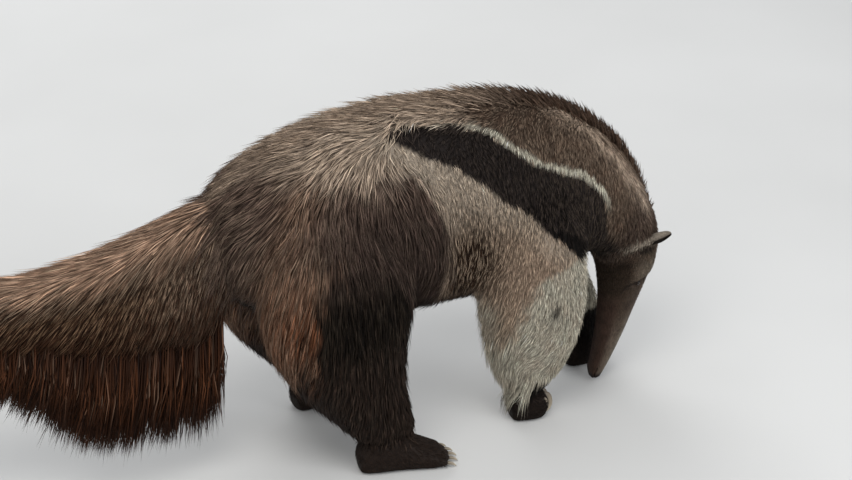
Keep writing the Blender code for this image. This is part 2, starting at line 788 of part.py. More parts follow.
def hind_claw(start, end):
    """A short claw, bent down a little, from inside the end of a toe."""
    way = (Vector(end) - Vector(start)).normalized()
    root = Vector(end) - way * 0.006 - DOWN * 0.0015
    path = [
        root,
        root + way * HIND_CLAW_LENGTH * 0.45 - DOWN * 0.0008,
        root + way * HIND_CLAW_LENGTH * 0.8 + DOWN * 0.0014,
        root + way * HIND_CLAW_LENGTH + DOWN * 0.0050,
    ]
    return bent_rod(path, HIND_CLAW_RADII, 5, lowest=CLAW_LOWEST)


def fore_claw(place, degrees, side, length, thick):
    """A long claw that leaves the front of the fist and curls down towards the floor."""
    front = FIST_FRONT - FIST_ROUND * side**2
    path = []
    for ahead, height in FORE_CLAW_CURVE:
        x = front + ahead * length
        z = FORE_CLAW_ROOT + height * length
        path.append([x, side * (1 - 0.2 * ahead), max(z, 0.003)])
    path = set_down(path, place, degrees)
    radii = [thick * share for share in FORE_CLAW_TAPER]
    return bent_rod(path, radii, 5, flat=FORE_CLAW_FLAT, lowest=CLAW_LOWEST)


# Fusing and cutting


def object_of(name, bm, collection):
    mesh = bpy.data.meshes.new(name)
    bm.to_mesh(mesh)
    bm.free()
    obj = bpy.data.objects.new(name, mesh)
    collection.objects.link(obj)
    return obj


def applied(obj):
    """The object with its modifiers applied."""
    bpy.context.view_layer.update()
    seen = obj.evaluated_get(bpy.context.evaluated_depsgraph_get())
    mesh = bpy.data.meshes.new_from_object(seen)
    obj.modifiers.clear()
    old = obj.data
    obj.data = mesh
    bpy.data.meshes.remove(old)
    mesh.name = obj.name
    return obj


def keep_largest(obj):
    """The object with only its largest closed surface."""
    bm = bmesh.new()
    bm.from_mesh(obj.data)
    left = set(bm.verts)
    groups = []
    while left:
        seed = left.pop()
        group = {seed}
        edge = [seed]
        while edge:
            vert = edge.pop()
            for link in vert.link_edges:
                other = link.other_vert(vert)
                if other in left:
                    left.discard(other)
                    group.add(other)
                    edge.append(other)
        groups.append(group)

    def size(group):
        points = np.array([tuple(vert.co) for vert in group])
        return np.linalg.norm(points.max(0) - points.min(0))

    groups.sort(key=size)
    for group in groups[:-1]:
        bmesh.ops.delete(bm, geom=list(group), context="VERTS")
    bm.to_mesh(obj.data)
    bm.free()


def fused(name, pieces, grow, collection):
    """One object from closed pieces that overlap."""
    obj = object_of(name, pieces[0](grow), collection)
    if len(pieces) > 1:
        group = bpy.data.collections.new(name + "_pieces")
        bpy.context.scene.collection.children.link(group)
        for k, piece in enumerate(pieces[1:]):
            object_of(f"{name}_piece_{k}", piece(grow), group)
        union = obj.modifiers.new("union", "BOOLEAN")
        union.operation = "UNION"
        union.operand_type = "COLLECTION"
        union.collection = group
        union.solver = "MANIFOLD"
        applied(obj)
        for piece in list(group.objects):
            bpy.data.objects.remove(piece)
        bpy.data.collections.remove(group)
    keep_largest(obj)
    return obj


def box_of(obj):
    points = np.array([tuple(v.co) for v in obj.data.vertices])
    return points.min(0), points.max(0)


def cut_clear(obj, cutters):
    """The object with each cutter's room taken out of it."""
    low, high = box_of(obj)
    near = []
    for cutter in cutters:
        other_low, other_high = box_of(cutter)
        if (other_low < high).all() and (other_high > low).all():
            near.append(cutter)
    for cutter in near:
        cut = obj.modifiers.new("cut", "BOOLEAN")
        cut.operation = "DIFFERENCE"
        cut.object = cutter
        cut.solver = "MANIFOLD"
    if near:
        applied(obj)
        keep_largest(obj)


def material(kind):
    made = bpy.data.materials.get(kind)
    if made is None:
        made = bpy.data.materials.new(kind)
        made.use_nodes = True
        shader = made.node_tree.nodes["Principled BSDF"]
        shader.inputs["Base Color"].default_value = (*COLOURS[kind], 1.0)
        shader.inputs["Roughness"].default_value = ROUGH.get(kind, 0.85)
        shader.inputs["Metallic"].default_value = 0.0
    return made


def centre_on_floor(objects, collection):
    """An empty carries all objects so that the origin is under the middle of the animal."""
    boxes = [box_of(obj) for obj in objects]
    low = np.min([box[0] for box in boxes], axis=0)
    high = np.max([box[1] for box in boxes], axis=0)
    root = bpy.data.objects.new("anteater_root", None)
    root.location = (-(low[0] + high[0]) / 2, -(low[1] + high[1]) / 2, 0.0)
    collection.objects.link(root)
    for obj in objects:
        obj.parent = root
    bpy.context.view_layer.update()


# The animal


def clear_scene():
    for obj in list(bpy.data.objects):
        bpy.data.objects.remove(obj)


def bare_pieces():
    """Each node's pieces without its locks, in the order in which they cut one another."""
    trunk = Form(TRUNK)
    tail = Form(core_of_tail())
    nodes = {}
    for name, mirror in (("right", -1), ("left", 1)):
        centre, _, _ = eye_centre(trunk, mirror)
        nodes[f"eye_{name}"] = ("eye", [ball(centre, EYE_RADIUS, 2)])
    for name, x, y, degrees in FOREFEET:
        for k, (inward, length, thick) in enumerate(FORE_CLAWS):
            side = -inward if y > 0 else inward
            claw = fore_claw((x, y), degrees, side, length, thick)
            nodes[f"foreclaw_{name}_{k + 1}"] = ("claw", [claw])
    for name, x, y, degrees in HINDFEET:
        for k, (start, end) in enumerate(toe_rows((x, y), degrees)):
            nodes[f"hindclaw_{name}_{k + 1}"] = ("claw", [hind_claw(start, end)])
    for name, mirror in (("right", -1), ("left", 1)):
        nodes[f"ear_{name}"] = ("ear", [ear(trunk, mirror)])
    for name, x, y, degrees in FOREFEET:
        foot = turned_foot(Form(FOREFOOT), 8, 10, (x, y), degrees)
        nodes[f"forefoot_{name}"] = ("foot", [foot])
    for name, x, y, degrees in HINDFEET:
        foot = turned_foot(Form(HINDFOOT), 9, 10, (x, y), degrees)
        toes = [hind_toe(start, end) for start, end in toe_rows((x, y), degrees)]
        nodes[f"hindfoot_{name}"] = ("foot", [foot, *toes])
    nodes["foreleg_right"] = ("foreleg", [tube(Form(FORELEG_RIGHT), 0, 8, 12, 12)])
    nodes["foreleg_left"] = ("foreleg", [tube(Form(FORELEG_LEFT), 0, 8, 12, 12)])
    nodes["hindleg_right"] = ("hindleg", [tube(Form(HINDLEG), 0, 8, 12, 12)])
    nodes["hindleg_left"] = ("hindleg", [tube(Form(left_hindleg()), 0, 8, 12, 12)])
    head = [tube(trunk, NECK_END, SNOUT_END, 19, 18, (GAP / 2, 0.0))]
    for mirror in (-1, 1):
        head += lids(trunk, mirror)
        head += [brow(trunk, mirror), lip(trunk, mirror)]
    nodes["head"] = ("head", head)
    nodes["neck"] = ("neck", [tube(trunk, TORSO_END, NECK_END, 8, 18, (GAP / 2, GAP / 2))])
    nodes["torso"] = ("torso", [tube(trunk, 0, TORSO_END, 14, 18, (0.0, GAP / 2))])
    base = tube(tail, 0, TAIL_BASE_END, 8, 12, (0.0, GAP / 2))
    middle = tube(tail, TAIL_BASE_END, TAIL_MIDDLE_END, 6, 12, (GAP / 2, GAP / 2))
    tip = tube(tail, TAIL_MIDDLE_END, TAIL_CORE_END, 7, 12, (GAP / 2, 0.0))
    nodes["tail_base"] = ("tail", [base])
    nodes["tail_middle"] = ("tail", [middle])
    nodes["tail_tip"] = ("tail", [tip])
    return nodes


def all_locks(nodes):
    """The locks of the whole coat, by node."""
    trunk = Form(TRUNK)
    body = Body([make[0](0.0) for kind, make in nodes.values() if kind not in ("claw", "eye")])
    coat = Coat(body)
    coat_crest(coat, trunk)
    coat_tail(coat, Form(core_of_tail()), Form(TAIL))
    coat_thigh(coat, Form(HINDLEG), "hindleg_right")
    coat_thigh(coat, Form(left_hindleg()), "hindleg_left")
    coat_foreleg(coat, Form(FORELEG_RIGHT), "foreleg_right")
    coat_foreleg(coat, Form(FORELEG_LEFT), "foreleg_left")
    coat_trunk(coat, trunk)
    return coat.locks


def head_cutters(cutters):
    """The hollows of the head: the nostrils and the slit of the mouth."""
    trunk = Form(TRUNK)
    hollows = []
    for mirror in (-1, 1):
        hollows.append(object_of("nostril", nostril(trunk, mirror)(0.0), cutters))
        hollows.append(object_of("mouth", mouth_line(trunk, mirror)(0.0), cutters))
    return hollows


def main():
    clear_scene()
    scene = bpy.context.scene
    animal = bpy.data.collections.new("giant_anteater")
    cutters = bpy.data.collections.new("cutters")
    scene.collection.children.link(animal)
    scene.collection.children.link(cutters)
    nodes = bare_pieces()
    locks = all_locks(nodes)
    made = []
    rooms = []
    for name, (kind, pieces) in nodes.items():
        pieces = pieces + locks.get(name, [])
        obj = fused(name, pieces, 0.0, animal)
        if name == "head":
            cut_clear(obj, head_cutters(cutters))
        cut_clear(obj, rooms)
        obj.data.materials.clear()
        obj.data.materials.append(material(kind))
        obj.data.shade_smooth()
        obj.data.set_sharp_from_angle(angle=math.radians(40))
        made.append(obj)
        rooms.append(fused(name + "_room", pieces, GAP, cutters))
        if name in locks:
            # A grown lock can miss a corner of the lock where it twists, so both cut.
            rooms.append(obj)
    for cutter in list(cutters.objects):
        bpy.data.objects.remove(cutter)
    bpy.data.collections.remove(cutters)
    centre_on_floor(made, animal)


main()
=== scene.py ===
"""The looks of the giant anteater: its skin, coat, eyes, ears and claws, and the studio.

Metres, +Z up, +X ahead. Shapes are worked out where the animal was designed, with the origin
on the floor under its midline, level with the right forefoot, and are moved into the frame as
each becomes a piece. The coat is made of tufts: thin closed blades of hair that follow its lie.
A place on a form is t, which counts its rings, and an angle round it.
"""

import math
from collections import namedtuple

import bmesh
import bpy
import numpy as np
from mathutils import Matrix, Vector
from mathutils.bvhtree import BVHTree
from mathutils.kdtree import KDTree

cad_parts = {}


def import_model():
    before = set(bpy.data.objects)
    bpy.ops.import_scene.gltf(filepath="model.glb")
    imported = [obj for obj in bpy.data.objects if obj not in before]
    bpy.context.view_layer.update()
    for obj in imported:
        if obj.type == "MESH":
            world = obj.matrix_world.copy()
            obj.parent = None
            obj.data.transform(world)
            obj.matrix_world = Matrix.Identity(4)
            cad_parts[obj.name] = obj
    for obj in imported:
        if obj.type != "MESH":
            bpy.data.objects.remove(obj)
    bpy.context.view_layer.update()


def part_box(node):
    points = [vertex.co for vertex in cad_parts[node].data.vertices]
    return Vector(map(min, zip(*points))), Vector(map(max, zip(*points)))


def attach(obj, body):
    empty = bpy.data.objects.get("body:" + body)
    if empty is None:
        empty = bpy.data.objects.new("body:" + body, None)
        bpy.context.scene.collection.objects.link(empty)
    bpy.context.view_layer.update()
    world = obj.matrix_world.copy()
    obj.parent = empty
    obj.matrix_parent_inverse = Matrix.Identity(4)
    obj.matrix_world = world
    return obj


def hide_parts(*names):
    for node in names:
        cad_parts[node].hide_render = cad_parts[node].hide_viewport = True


SEED = 23
DOWN = np.array([0.0, 0.0, -1.0])
BACK = np.array([-1.0, 0.0, 0.0])
FORWARD = np.array([1.0, 0.0, 0.0])
AWAY = np.array([0.0, 1.0, 0.0])
MIRRORS = {"right": -1, "left": 1}

# The photograph's view
AZIMUTH = -24.0
ELEVATION = 27.0
DISTANCE = 6.0
TARGET = (-0.2005, 0.0, 0.397)
SENSOR = 36.0
LENS = 130.56
FLOOR_HALF = 40.0

# A body ring: the point over (or in front), the point under (or behind), the middle's y,
# and half the width across. These rings are the solids' own. A ring is widest at a share of
# its height, and its power tells how square it is.
Ring = namedtuple("Ring", "over_x over_z under_x under_z y half")
RING_WIDEST = 0.47
RING_POWER = 2.15
TRUNK = [
    Ring(-0.655, 0.500, -0.650, 0.450, 0.0, 0.020),
    Ring(-0.625, 0.580, -0.610, 0.375, 0.0, 0.085),
    Ring(-0.540, 0.640, -0.525, 0.320, 0.0, 0.125),
    Ring(-0.420, 0.678, -0.410, 0.295, 0.0, 0.142),
    Ring(-0.290, 0.692, -0.285, 0.285, 0.0, 0.150),
    Ring(-0.160, 0.690, -0.160, 0.280, 0.0, 0.148),
    Ring(-0.050, 0.675, -0.040, 0.285, 0.0, 0.138),
    Ring(0.045, 0.645, 0.045, 0.300, 0.0, 0.126),
    Ring(0.127, 0.600, 0.092, 0.312, 0.0, 0.113),
    Ring(0.196, 0.535, 0.122, 0.318, 0.0, 0.100),
    Ring(0.248, 0.458, 0.145, 0.314, 0.0, 0.090),
    Ring(0.280, 0.385, 0.163, 0.300, 0.0, 0.080),
    Ring(0.297, 0.325, 0.175, 0.276, 0.0, 0.070),
    Ring(0.292, 0.275, 0.182, 0.244, 0.0, 0.060),
    Ring(0.278, 0.223, 0.184, 0.200, 0.0, 0.048),
    Ring(0.260, 0.171, 0.181, 0.153, 0.0, 0.038),
    Ring(0.240, 0.119, 0.176, 0.105, 0.0, 0.031),
    Ring(0.218, 0.071, 0.169, 0.061, 0.0, 0.026),
    Ring(0.200, 0.035, 0.162, 0.029, 0.0, 0.021),
    Ring(0.187, 0.012, 0.165, 0.010, 0.0, 0.014),
]
HEAD_START = 10.6
SNOUT_END = 19.0
TAIL = [
    Ring(-0.560, 0.575, -0.580, 0.460, 0.0, 0.060),
    Ring(-0.660, 0.570, -0.650, 0.110, 0.0, 0.085),
    Ring(-0.760, 0.535, -0.750, 0.092, 0.0, 0.092),
    Ring(-0.880, 0.500, -0.875, 0.112, 0.0, 0.088),
    Ring(-1.000, 0.483, -1.000, 0.205, 0.0, 0.078),
    Ring(-1.120, 0.479, -1.120, 0.258, 0.0, 0.066),
    Ring(-1.240, 0.464, -1.235, 0.280, 0.0, 0.050),
    Ring(-1.350, 0.430, -1.345, 0.295, 0.0, 0.032),
    Ring(-1.420, 0.370, -1.415, 0.320, 0.0, 0.014),
]
TAIL_CORE_DEPTH = 0.60
TAIL_CORE_WIDTH = 0.66
TAIL_CORE_END = 7.5
FORELEG_RIGHT = [
    Ring(0.055, 0.560, -0.075, 0.570, -0.060, 0.030),
    Ring(0.088, 0.470, -0.120, 0.470, -0.084, 0.056),
    Ring(0.092, 0.380, -0.138, 0.380, -0.097, 0.066),
    Ring(0.094, 0.300, -0.128, 0.300, -0.100, 0.066),
    Ring(0.091, 0.230, -0.115, 0.230, -0.098, 0.060),
    Ring(0.081, 0.165, -0.102, 0.165, -0.092, 0.052),
    Ring(0.062, 0.115, -0.084, 0.120, -0.084, 0.044),
    Ring(0.034, 0.078, -0.062, 0.084, -0.077, 0.037),
    Ring(0.014, 0.056, -0.048, 0.062, -0.073, 0.031),
]
FORELEG_LEFT = [
    Ring(0.060, 0.560, -0.070, 0.560, 0.060, 0.030),
    Ring(0.114, 0.480, -0.101, 0.460, 0.084, 0.056),
    Ring(0.142, 0.390, -0.091, 0.350, 0.098, 0.065),
    Ring(0.166, 0.310, -0.047, 0.260, 0.102, 0.062),
    Ring(0.188, 0.240, 0.006, 0.190, 0.102, 0.055),
    Ring(0.212, 0.178, 0.068, 0.138, 0.098, 0.048),
    Ring(0.228, 0.126, 0.116, 0.100, 0.093, 0.041),
    Ring(0.228, 0.086, 0.142, 0.076, 0.089, 0.036),
    Ring(0.220, 0.060, 0.158, 0.060, 0.087, 0.031),
]
HINDLEG = [
    Ring(-0.370, 0.590, -0.500, 0.600, -0.062, 0.040),
    Ring(-0.305, 0.500, -0.555, 0.520, -0.086, 0.068),
    Ring(-0.285, 0.420, -0.580, 0.430, -0.104, 0.080),
    Ring(-0.290, 0.340, -0.582, 0.345, -0.116, 0.082),
    Ring(-0.302, 0.265, -0.560, 0.265, -0.124, 0.074),
    Ring(-0.308, 0.200, -0.512, 0.195, -0.130, 0.062),
    Ring(-0.302, 0.145, -0.465, 0.140, -0.135, 0.052),
    Ring(-0.292, 0.102, -0.428, 0.098, -0.139, 0.045),
    Ring(-0.285, 0.072, -0.404, 0.070, -0.142, 0.038),
]
HINDLEG_LEFT_BACK = 0.025
FOREFOOT = [
    Ring(-0.040, 0.034, -0.040, 0.012, 0.0, 0.018),
    Ring(-0.035, 0.058, -0.035, -0.004, 0.0, 0.030),
    Ring(-0.018, 0.072, -0.018, -0.008, 0.0, 0.036),
    Ring(0.004, 0.068, 0.004, -0.008, 0.0, 0.038),
    Ring(0.022, 0.058, 0.022, -0.004, 0.0, 0.034),
    Ring(0.034, 0.046, 0.034, 0.012, 0.0, 0.024),
]
HINDFOOT = [
    Ring(-0.066, 0.034, -0.066, 0.010, 0.0, 0.016),
    Ring(-0.058, 0.066, -0.058, -0.004, 0.0, 0.030),
    Ring(-0.028, 0.086, -0.028, -0.008, 0.0, 0.037),
    Ring(0.012, 0.084, 0.012, -0.008, 0.0, 0.038),
    Ring(0.052, 0.058, 0.052, -0.008, 0.0, 0.040),
    Ring(0.084, 0.040, 0.084, -0.008, 0.0, 0.041),
    Ring(0.100, 0.028, 0.100, 0.002, 0.0, 0.036),
]
LEGS = ("foreleg_right", "foreleg_left", "hindleg_right", "hindleg_left")
LEG_END = 8
# Where the ankles stand: x, y and the degrees that the foot turns outward
FOREFEET = {"right": (-0.010, -0.073, -4.0), "left": (0.186, 0.087, 6.0)}
HINDFEET = {"right": (-0.340, -0.145, -9.0), "left": (-0.365, 0.145, 9.0)}
HIND_TOES = 5
TOE_LENGTH = 0.026
TOE_RADIUS = 0.0090
TOE_TAPER = (1.0, 0.98, 1.02, 0.98, 0.92, 0.86, 0.62)
TOE_ARCH = ((0.0, 0.0, 0.0060), (0.0, 0.0, 0.0055), (0.0, 0.0, 0.0))
HIND_CLAW_LENGTH = 0.024
HIND_CLAW_RADII = (0.0038, 0.0036, 0.0023, 0.0006)
# Each large claw: how far it sits to one side, its length and its thickness
FORE_CLAWS = [
    (0.025, 0.034, 0.0042),
    (0.009, 0.050, 0.0066),
    (-0.009, 0.056, 0.0074),
    (-0.025, 0.030, 0.0038),
]
FORE_CLAW_CURVE = [(-0.12, 0.0), (0.16, -0.04), (0.27, -0.32), (0.22, -0.58), (0.05, -0.76)]
FORE_CLAW_TAPER = (1.0, 0.95, 0.8, 0.55, 0.12)
FORE_CLAW_FLAT = 0.72
FORE_CLAW_ROOT = 0.044
KNUCKLE_TAPER = (1.5, 1.75, 1.8, 1.7, 1.45, 1.15)
FIST_FRONT = 0.029
FIST_ROUND = 12.0
CLAW_LOWEST = 0.0015

# Places on the head: t along the trunk, and degrees up from the side's widest line
EYE_RADIUS = 0.0078
EYE_PLACE = (13.65, 12.0)
EYE_SINK = 0.0068
SOLID_EYE_SINK = 0.0042
EYE_HALF_LENGTH = 0.0066
EYE_HALF_HEIGHTS = (0.0039, 0.0034)
LID_REACH = 0.0165
MOLE = (13.65, -52.0)
NOSTRIL = [(18.60, 46.0), (18.75, 48.0), (18.88, 52.0)]
MOUTH = [(19.0, -38.0), (18.6, -36.0), (18.2, -33.0), (17.85, -30.0)]
LIP = [(18.9, -62.0), (18.6, -58.0), (18.2, -54.0), (17.9, -50.0)]
EAR_PLACE = (11.62, 25.0)
EAR_LENGTH = 0.046
EAR_WIDTH = 0.0125
EAR_WALL = 0.0026
EAR_WAY = (0.80, 0.42, 0.46)
EAR_OPENING = (0.25, 0.85, -0.50)
EAR_STEPS = (-0.34, 0.00, 0.36, 0.68, 0.90, 1.0)
EAR_RADII = (0.80, 0.98, 1.04, 0.88, 0.56, 0.24)
EAR_HALF_ARC = 118.0
# Furrows and lips along lines of the head: the line, how far from it, the width and the height
HEAD_LINES = [
    (NOSTRIL, 0.0, 0.0017, -0.0042),
    (NOSTRIL, 0.0036, 0.0014, 0.0007),
    (MOUTH, 0.0, 0.0010, -0.0024),
    (MOUTH, 0.0026, 0.0012, 0.0006),
    (LIP, 0.0, 0.0030, 0.0012),
]
# The jaw's swelling and the hollows behind and ahead of the eye: t, its reach, the band of
# degrees, how soft the band is, and the height
HEAD_SWELLS = [
    (13.05, 0.45, -42, -18, 12, 0.0020),
    (12.35, 0.30, -40, 5, 14, -0.0016),
    (14.50, 0.45, -5, 35, 14, -0.0018),
]
# Rows of the head's skin: from t, to t, and how many
HEAD_ROWS = [(HEAD_START, 12.2, 30), (12.2, 14.8, 66), (14.8, 17.6, 44), (17.6, SNOUT_END, 61)]
HEAD_SIDES = 150
SNOUT_CAP = (0.93, 0.82, 0.68, 0.52, 0.34, 0.16, 0.03)

# How far the skin lies inside the solids, and how fine it is
BODY_DEPTH = 0.004
HEAD_DEPTH = 0.0012
FOOT_DEPTH = 0.0015
BODY_VOXEL = 0.0070
FOOT_VOXEL = 0.0027

# The markings, on the right side as seen from the side: x and z, the same on the left
STRIPE_TOP = [
    (-0.310, 0.670), (-0.284, 0.676), (-0.252, 0.675), (-0.222, 0.672), (-0.194, 0.668),
    (-0.165, 0.662), (-0.136, 0.654), (-0.116, 0.644), (-0.097, 0.634), (-0.077, 0.615),
    (-0.047, 0.590), (-0.004, 0.562), (0.040, 0.543), (0.079, 0.525), (0.101, 0.503),
    (0.126, 0.475), (0.137, 0.450), (0.141, 0.411), (0.146, 0.366), (0.165, 0.298),
]
STRIPE_LOW = [
    (-0.310, 0.664), (-0.290, 0.651), (-0.268, 0.640), (-0.242, 0.626), (-0.203, 0.606),
    (-0.167, 0.581), (-0.133, 0.555), (-0.100, 0.520), (-0.066, 0.494), (-0.033, 0.469),
    (0.003, 0.427), (0.035, 0.395), (0.065, 0.364), (0.076, 0.330), (0.072, 0.270),
]
# The front edge of the dark flank, its upper edge, and the paler brown behind the hip
FLANK_FRONT = [
    (-0.315, 0.636), (-0.286, 0.616), (-0.262, 0.586), (-0.245, 0.556), (-0.228, 0.522),
    (-0.220, 0.480), (-0.216, 0.430), (-0.214, 0.380), (-0.216, 0.340),
]
FLANK_TOP = [(-0.560, 0.640), (-0.498, 0.618), (-0.427, 0.604), (-0.351, 0.600), (-0.300, 0.625)]
HIP_LINE = [(-0.480, 0.635), (-0.520, 0.560), (-0.552, 0.484), (-0.575, 0.400)]
# The edge of the pale forearm, and the dark spot on it
FOREARM_EDGE = [
    (-0.150, 0.130), (-0.110, 0.180), (-0.080, 0.230), (-0.060, 0.290), (-0.040, 0.335),
    (-0.005, 0.352), (0.070, 0.366), (0.120, 0.380),
]
SPOT = (0.004, 0.266)
SPOT_RADIUS = 0.017
# How high the black of each hand reaches, and how much higher in front
HAND_TOPS = {"right": (0.028, 0.050), "left": (0.128, 0.0)}

# Colours of the hair
CREAM_HAIR = (0.550, 0.515, 0.415)
PALE_HAIR = (0.460, 0.375, 0.290)
STRIPE_EDGE_HAIR = (0.560, 0.470, 0.370)
SAND_HAIR = (0.500, 0.375, 0.275)
ARM_HAIR = (0.500, 0.375, 0.270)
TAN_HAIR = (0.350, 0.225, 0.155)
BROWN_HAIR = (0.115, 0.070, 0.047)
RUST_HAIR = (0.190, 0.066, 0.028)
GREY_HAIR = (0.118, 0.078, 0.060)
NECK_HAIR = (0.112, 0.078, 0.056)
UMBER_HAIR = (0.055, 0.036, 0.029)
DARK_HAIR = (0.024, 0.015, 0.011)
BLACK_HAIR = (0.008, 0.006, 0.005)
BACK_HAIR = (0.600, 0.470, 0.360)
TICK_HAIR = (0.520, 0.395, 0.285)
STRIPE_HAIR = (0.025, 0.019, 0.017)
ELBOW_HAIR = (0.052, 0.028, 0.016)
HIP_HAIR = (0.165, 0.108, 0.082)
THIGH_HAIR = (0.235, 0.140, 0.092)
THIGH_FRONT_HAIR = (0.009, 0.006, 0.004)
TAIL_TOP_HAIR = (0.430, 0.275, 0.188)
TAIL_SIDE_HAIR = (0.024, 0.013, 0.008)
TAIL_LOW_HAIR = (0.040, 0.0145, 0.0062)
HEAD_HAIR = (0.075, 0.056, 0.042)
EAR_HAIR = (0.165, 0.140, 0.112)
RIDGE_HAIR = (0.400, 0.345, 0.275)
# Painted shade for the furrow under the ear's ridge and the crease where the eye sits
CREASE_SHADE_HAIR = (0.009, 0.006, 0.005)
# Painted light on the bulge of the temples
TEMPLE_LIGHT_HAIR = (0.160, 0.130, 0.098)
THROAT_HAIR = (0.032, 0.021, 0.014)
# A painted sheen along the top of the snout
SNOUT_SHEEN_HAIR = (0.125, 0.108, 0.083)
SNOUT_LOW_HAIR = (0.036, 0.021, 0.015)
WHITE = (1.0, 1.0, 1.0)
WARM_TINT = (0.86, 0.72, 0.60)
# Colours of the bare skin
NOSE_SKIN = (0.012, 0.009, 0.008)
EYELID_SKIN = (0.012, 0.009, 0.007)
MOLE_SKIN = (0.010, 0.007, 0.006)
EAR_INSIDE = (0.020, 0.016, 0.013)
EAR_RIM = (0.050, 0.040, 0.033)

# The lie of the coat on the trunk and the right foreleg: x, z and a bearing in degrees,
# as the right side shows it, 0 forward, 180 back and 270 down
TRUNK_COMB = [
    (-0.600, 0.560, 200), (-0.500, 0.660, 182), (-0.360, 0.685, 182), (-0.220, 0.690, 188),
    (-0.120, 0.685, 200), (-0.440, 0.635, 235), (-0.480, 0.585, 252), (-0.400, 0.645, 222),
    (-0.370, 0.620, 260), (-0.340, 0.600, 275), (-0.300, 0.605, 289), (-0.260, 0.580, 291),
    (-0.290, 0.530, 286), (-0.340, 0.500, 276), (-0.420, 0.520, 266), (-0.300, 0.420, 268),
    (-0.240, 0.450, 271), (-0.220, 0.380, 262), (-0.250, 0.655, 262), (-0.150, 0.620, 262),
    (-0.050, 0.580, 255), (0.040, 0.500, 252), (0.100, 0.450, 252), (-0.200, 0.560, 266),
    (-0.120, 0.500, 258), (-0.050, 0.440, 250), (-0.150, 0.420, 245), (0.000, 0.380, 250),
    (-0.050, 0.655, 238), (0.050, 0.610, 238), (0.120, 0.570, 238), (0.180, 0.500, 245),
    (0.220, 0.420, 255), (0.250, 0.360, 262), (0.100, 0.625, 212), (0.200, 0.530, 222),
    (0.280, 0.420, 235), (-0.580, 0.500, 240), (-0.540, 0.440, 256),
]
FORELEG_COMB = [
    (-0.020, 0.420, 250), (0.070, 0.380, 250), (0.050, 0.280, 248), (-0.050, 0.290, 246),
    (0.050, 0.190, 238), (-0.030, 0.210, 222), (-0.020, 0.160, 196), (-0.060, 0.130, 262),
    (-0.085, 0.200, 256), (-0.100, 0.300, 252), (0.000, 0.095, 262),
]

# Tufts: where their rings lie along short and long ones, how wide they are at places along
# them, how deep their roots go in, and how high over the floor and the skin they stay
SHORT = (0.0, 0.5, 1.0)
LONG = (0.0, 0.33, 0.68, 1.0)
TUFT_PLACES = (0.0, 0.3, 0.7, 1.0)
TUFT_WIDTHS = (0.75, 1.0, 0.72, 0.0)
TUFT_THICKNESS = 0.42
ROOT_DEPTH = 0.003
FLOOR_GAP = 0.004
SKIN_GAP = 0.0012
LOCK_REACH = 0.030
PIECE_TRIANGLES = 190_000


# Arrays of points and directions


def unit(vectors):
    return vectors / np.maximum(np.linalg.norm(vectors, axis=-1, keepdims=True), 1e-9)


def ease(values, low, high):
    """From 0 at low to 1 at high, with a soft start and end."""
    share = np.clip((values - low) / (high - low), 0.0, 1.0)
    return share * share * (3 - 2 * share)


def mixed(first, second, share):
    """Between two colours or lists of colours, by a share for each point."""
    share = np.asarray(share)[..., None]
    return np.asarray(first) * (1 - share) + np.asarray(second) * share


def into_surface(ways, normals):
    """Directions laid into the surface."""
    return unit(ways - normals * (ways * normals).sum(-1, keepdims=True))


def drift(points, size, seed):
    """Soft noise, mostly from -1 to 1, that changes over about that size."""
    draw = np.random.default_rng(seed)
    total = np.zeros(len(points))
    for _ in range(6):
        way = unit(draw.normal(size=3))
        turn = draw.uniform(0, 2 * math.pi)
        total += np.sin(points @ way * (2 * math.pi / size) * draw.uniform(0.6, 1.5) + turn)
    return total / 2.4


def smooth(values, t):
    """The values at places t along their list, on a Catmull-Rom curve."""
    values = np.asarray(values, float)
    t = np.clip(np.asarray(t, float), 0, len(values) - 1)
    i = np.minimum(t.astype(int), len(values) - 2)
    f = (t - i)[:, None]
    before = values[np.maximum(i - 1, 0)]
    here = values[i]
    after = values[i + 1]
    beyond = values[np.minimum(i + 2, len(values) - 1)]
    return 0.5 * (
        2 * here
        + (after - before) * f
        + (2 * before - 5 * here + 4 * after - beyond) * f**2
        + (3 * here - before - 3 * after + beyond) * f**3
    )


def smooth_numbers(values, t):
    """The same for a list of plain numbers."""
    return smooth(np.array(values)[:, None], t)[:, 0]


def hump(distance, width):
    """From 1 at a distance of 0 to nearly 0 past twice the width."""
    return np.exp(-((distance / width) ** 2))


def patchy(points, mean, swing, size, seed):
    """A share from 0 to 1 that drifts about its mean."""
    return np.clip(mean + swing * drift(points, size, seed), 0, 1)


def turns(count):
    """Angles spread evenly round a circle."""
    return np.linspace(0, 2 * math.pi, count, endpoint=False)


def flat_grid(first, second):
    """Every pair of two lists of numbers, as two flat arrays."""
    return [grid.ravel() for grid in np.meshgrid(first, second, indexing="ij")]


def raised(points, lowest):
    """The points, with those under a height lifted to it."""
    points[..., 2] = np.maximum(points[..., 2], lowest)
    return points


def gap(points, spot):
    """How far each point is from a spot."""
    return np.linalg.norm(points - spot, axis=1)


# Forms


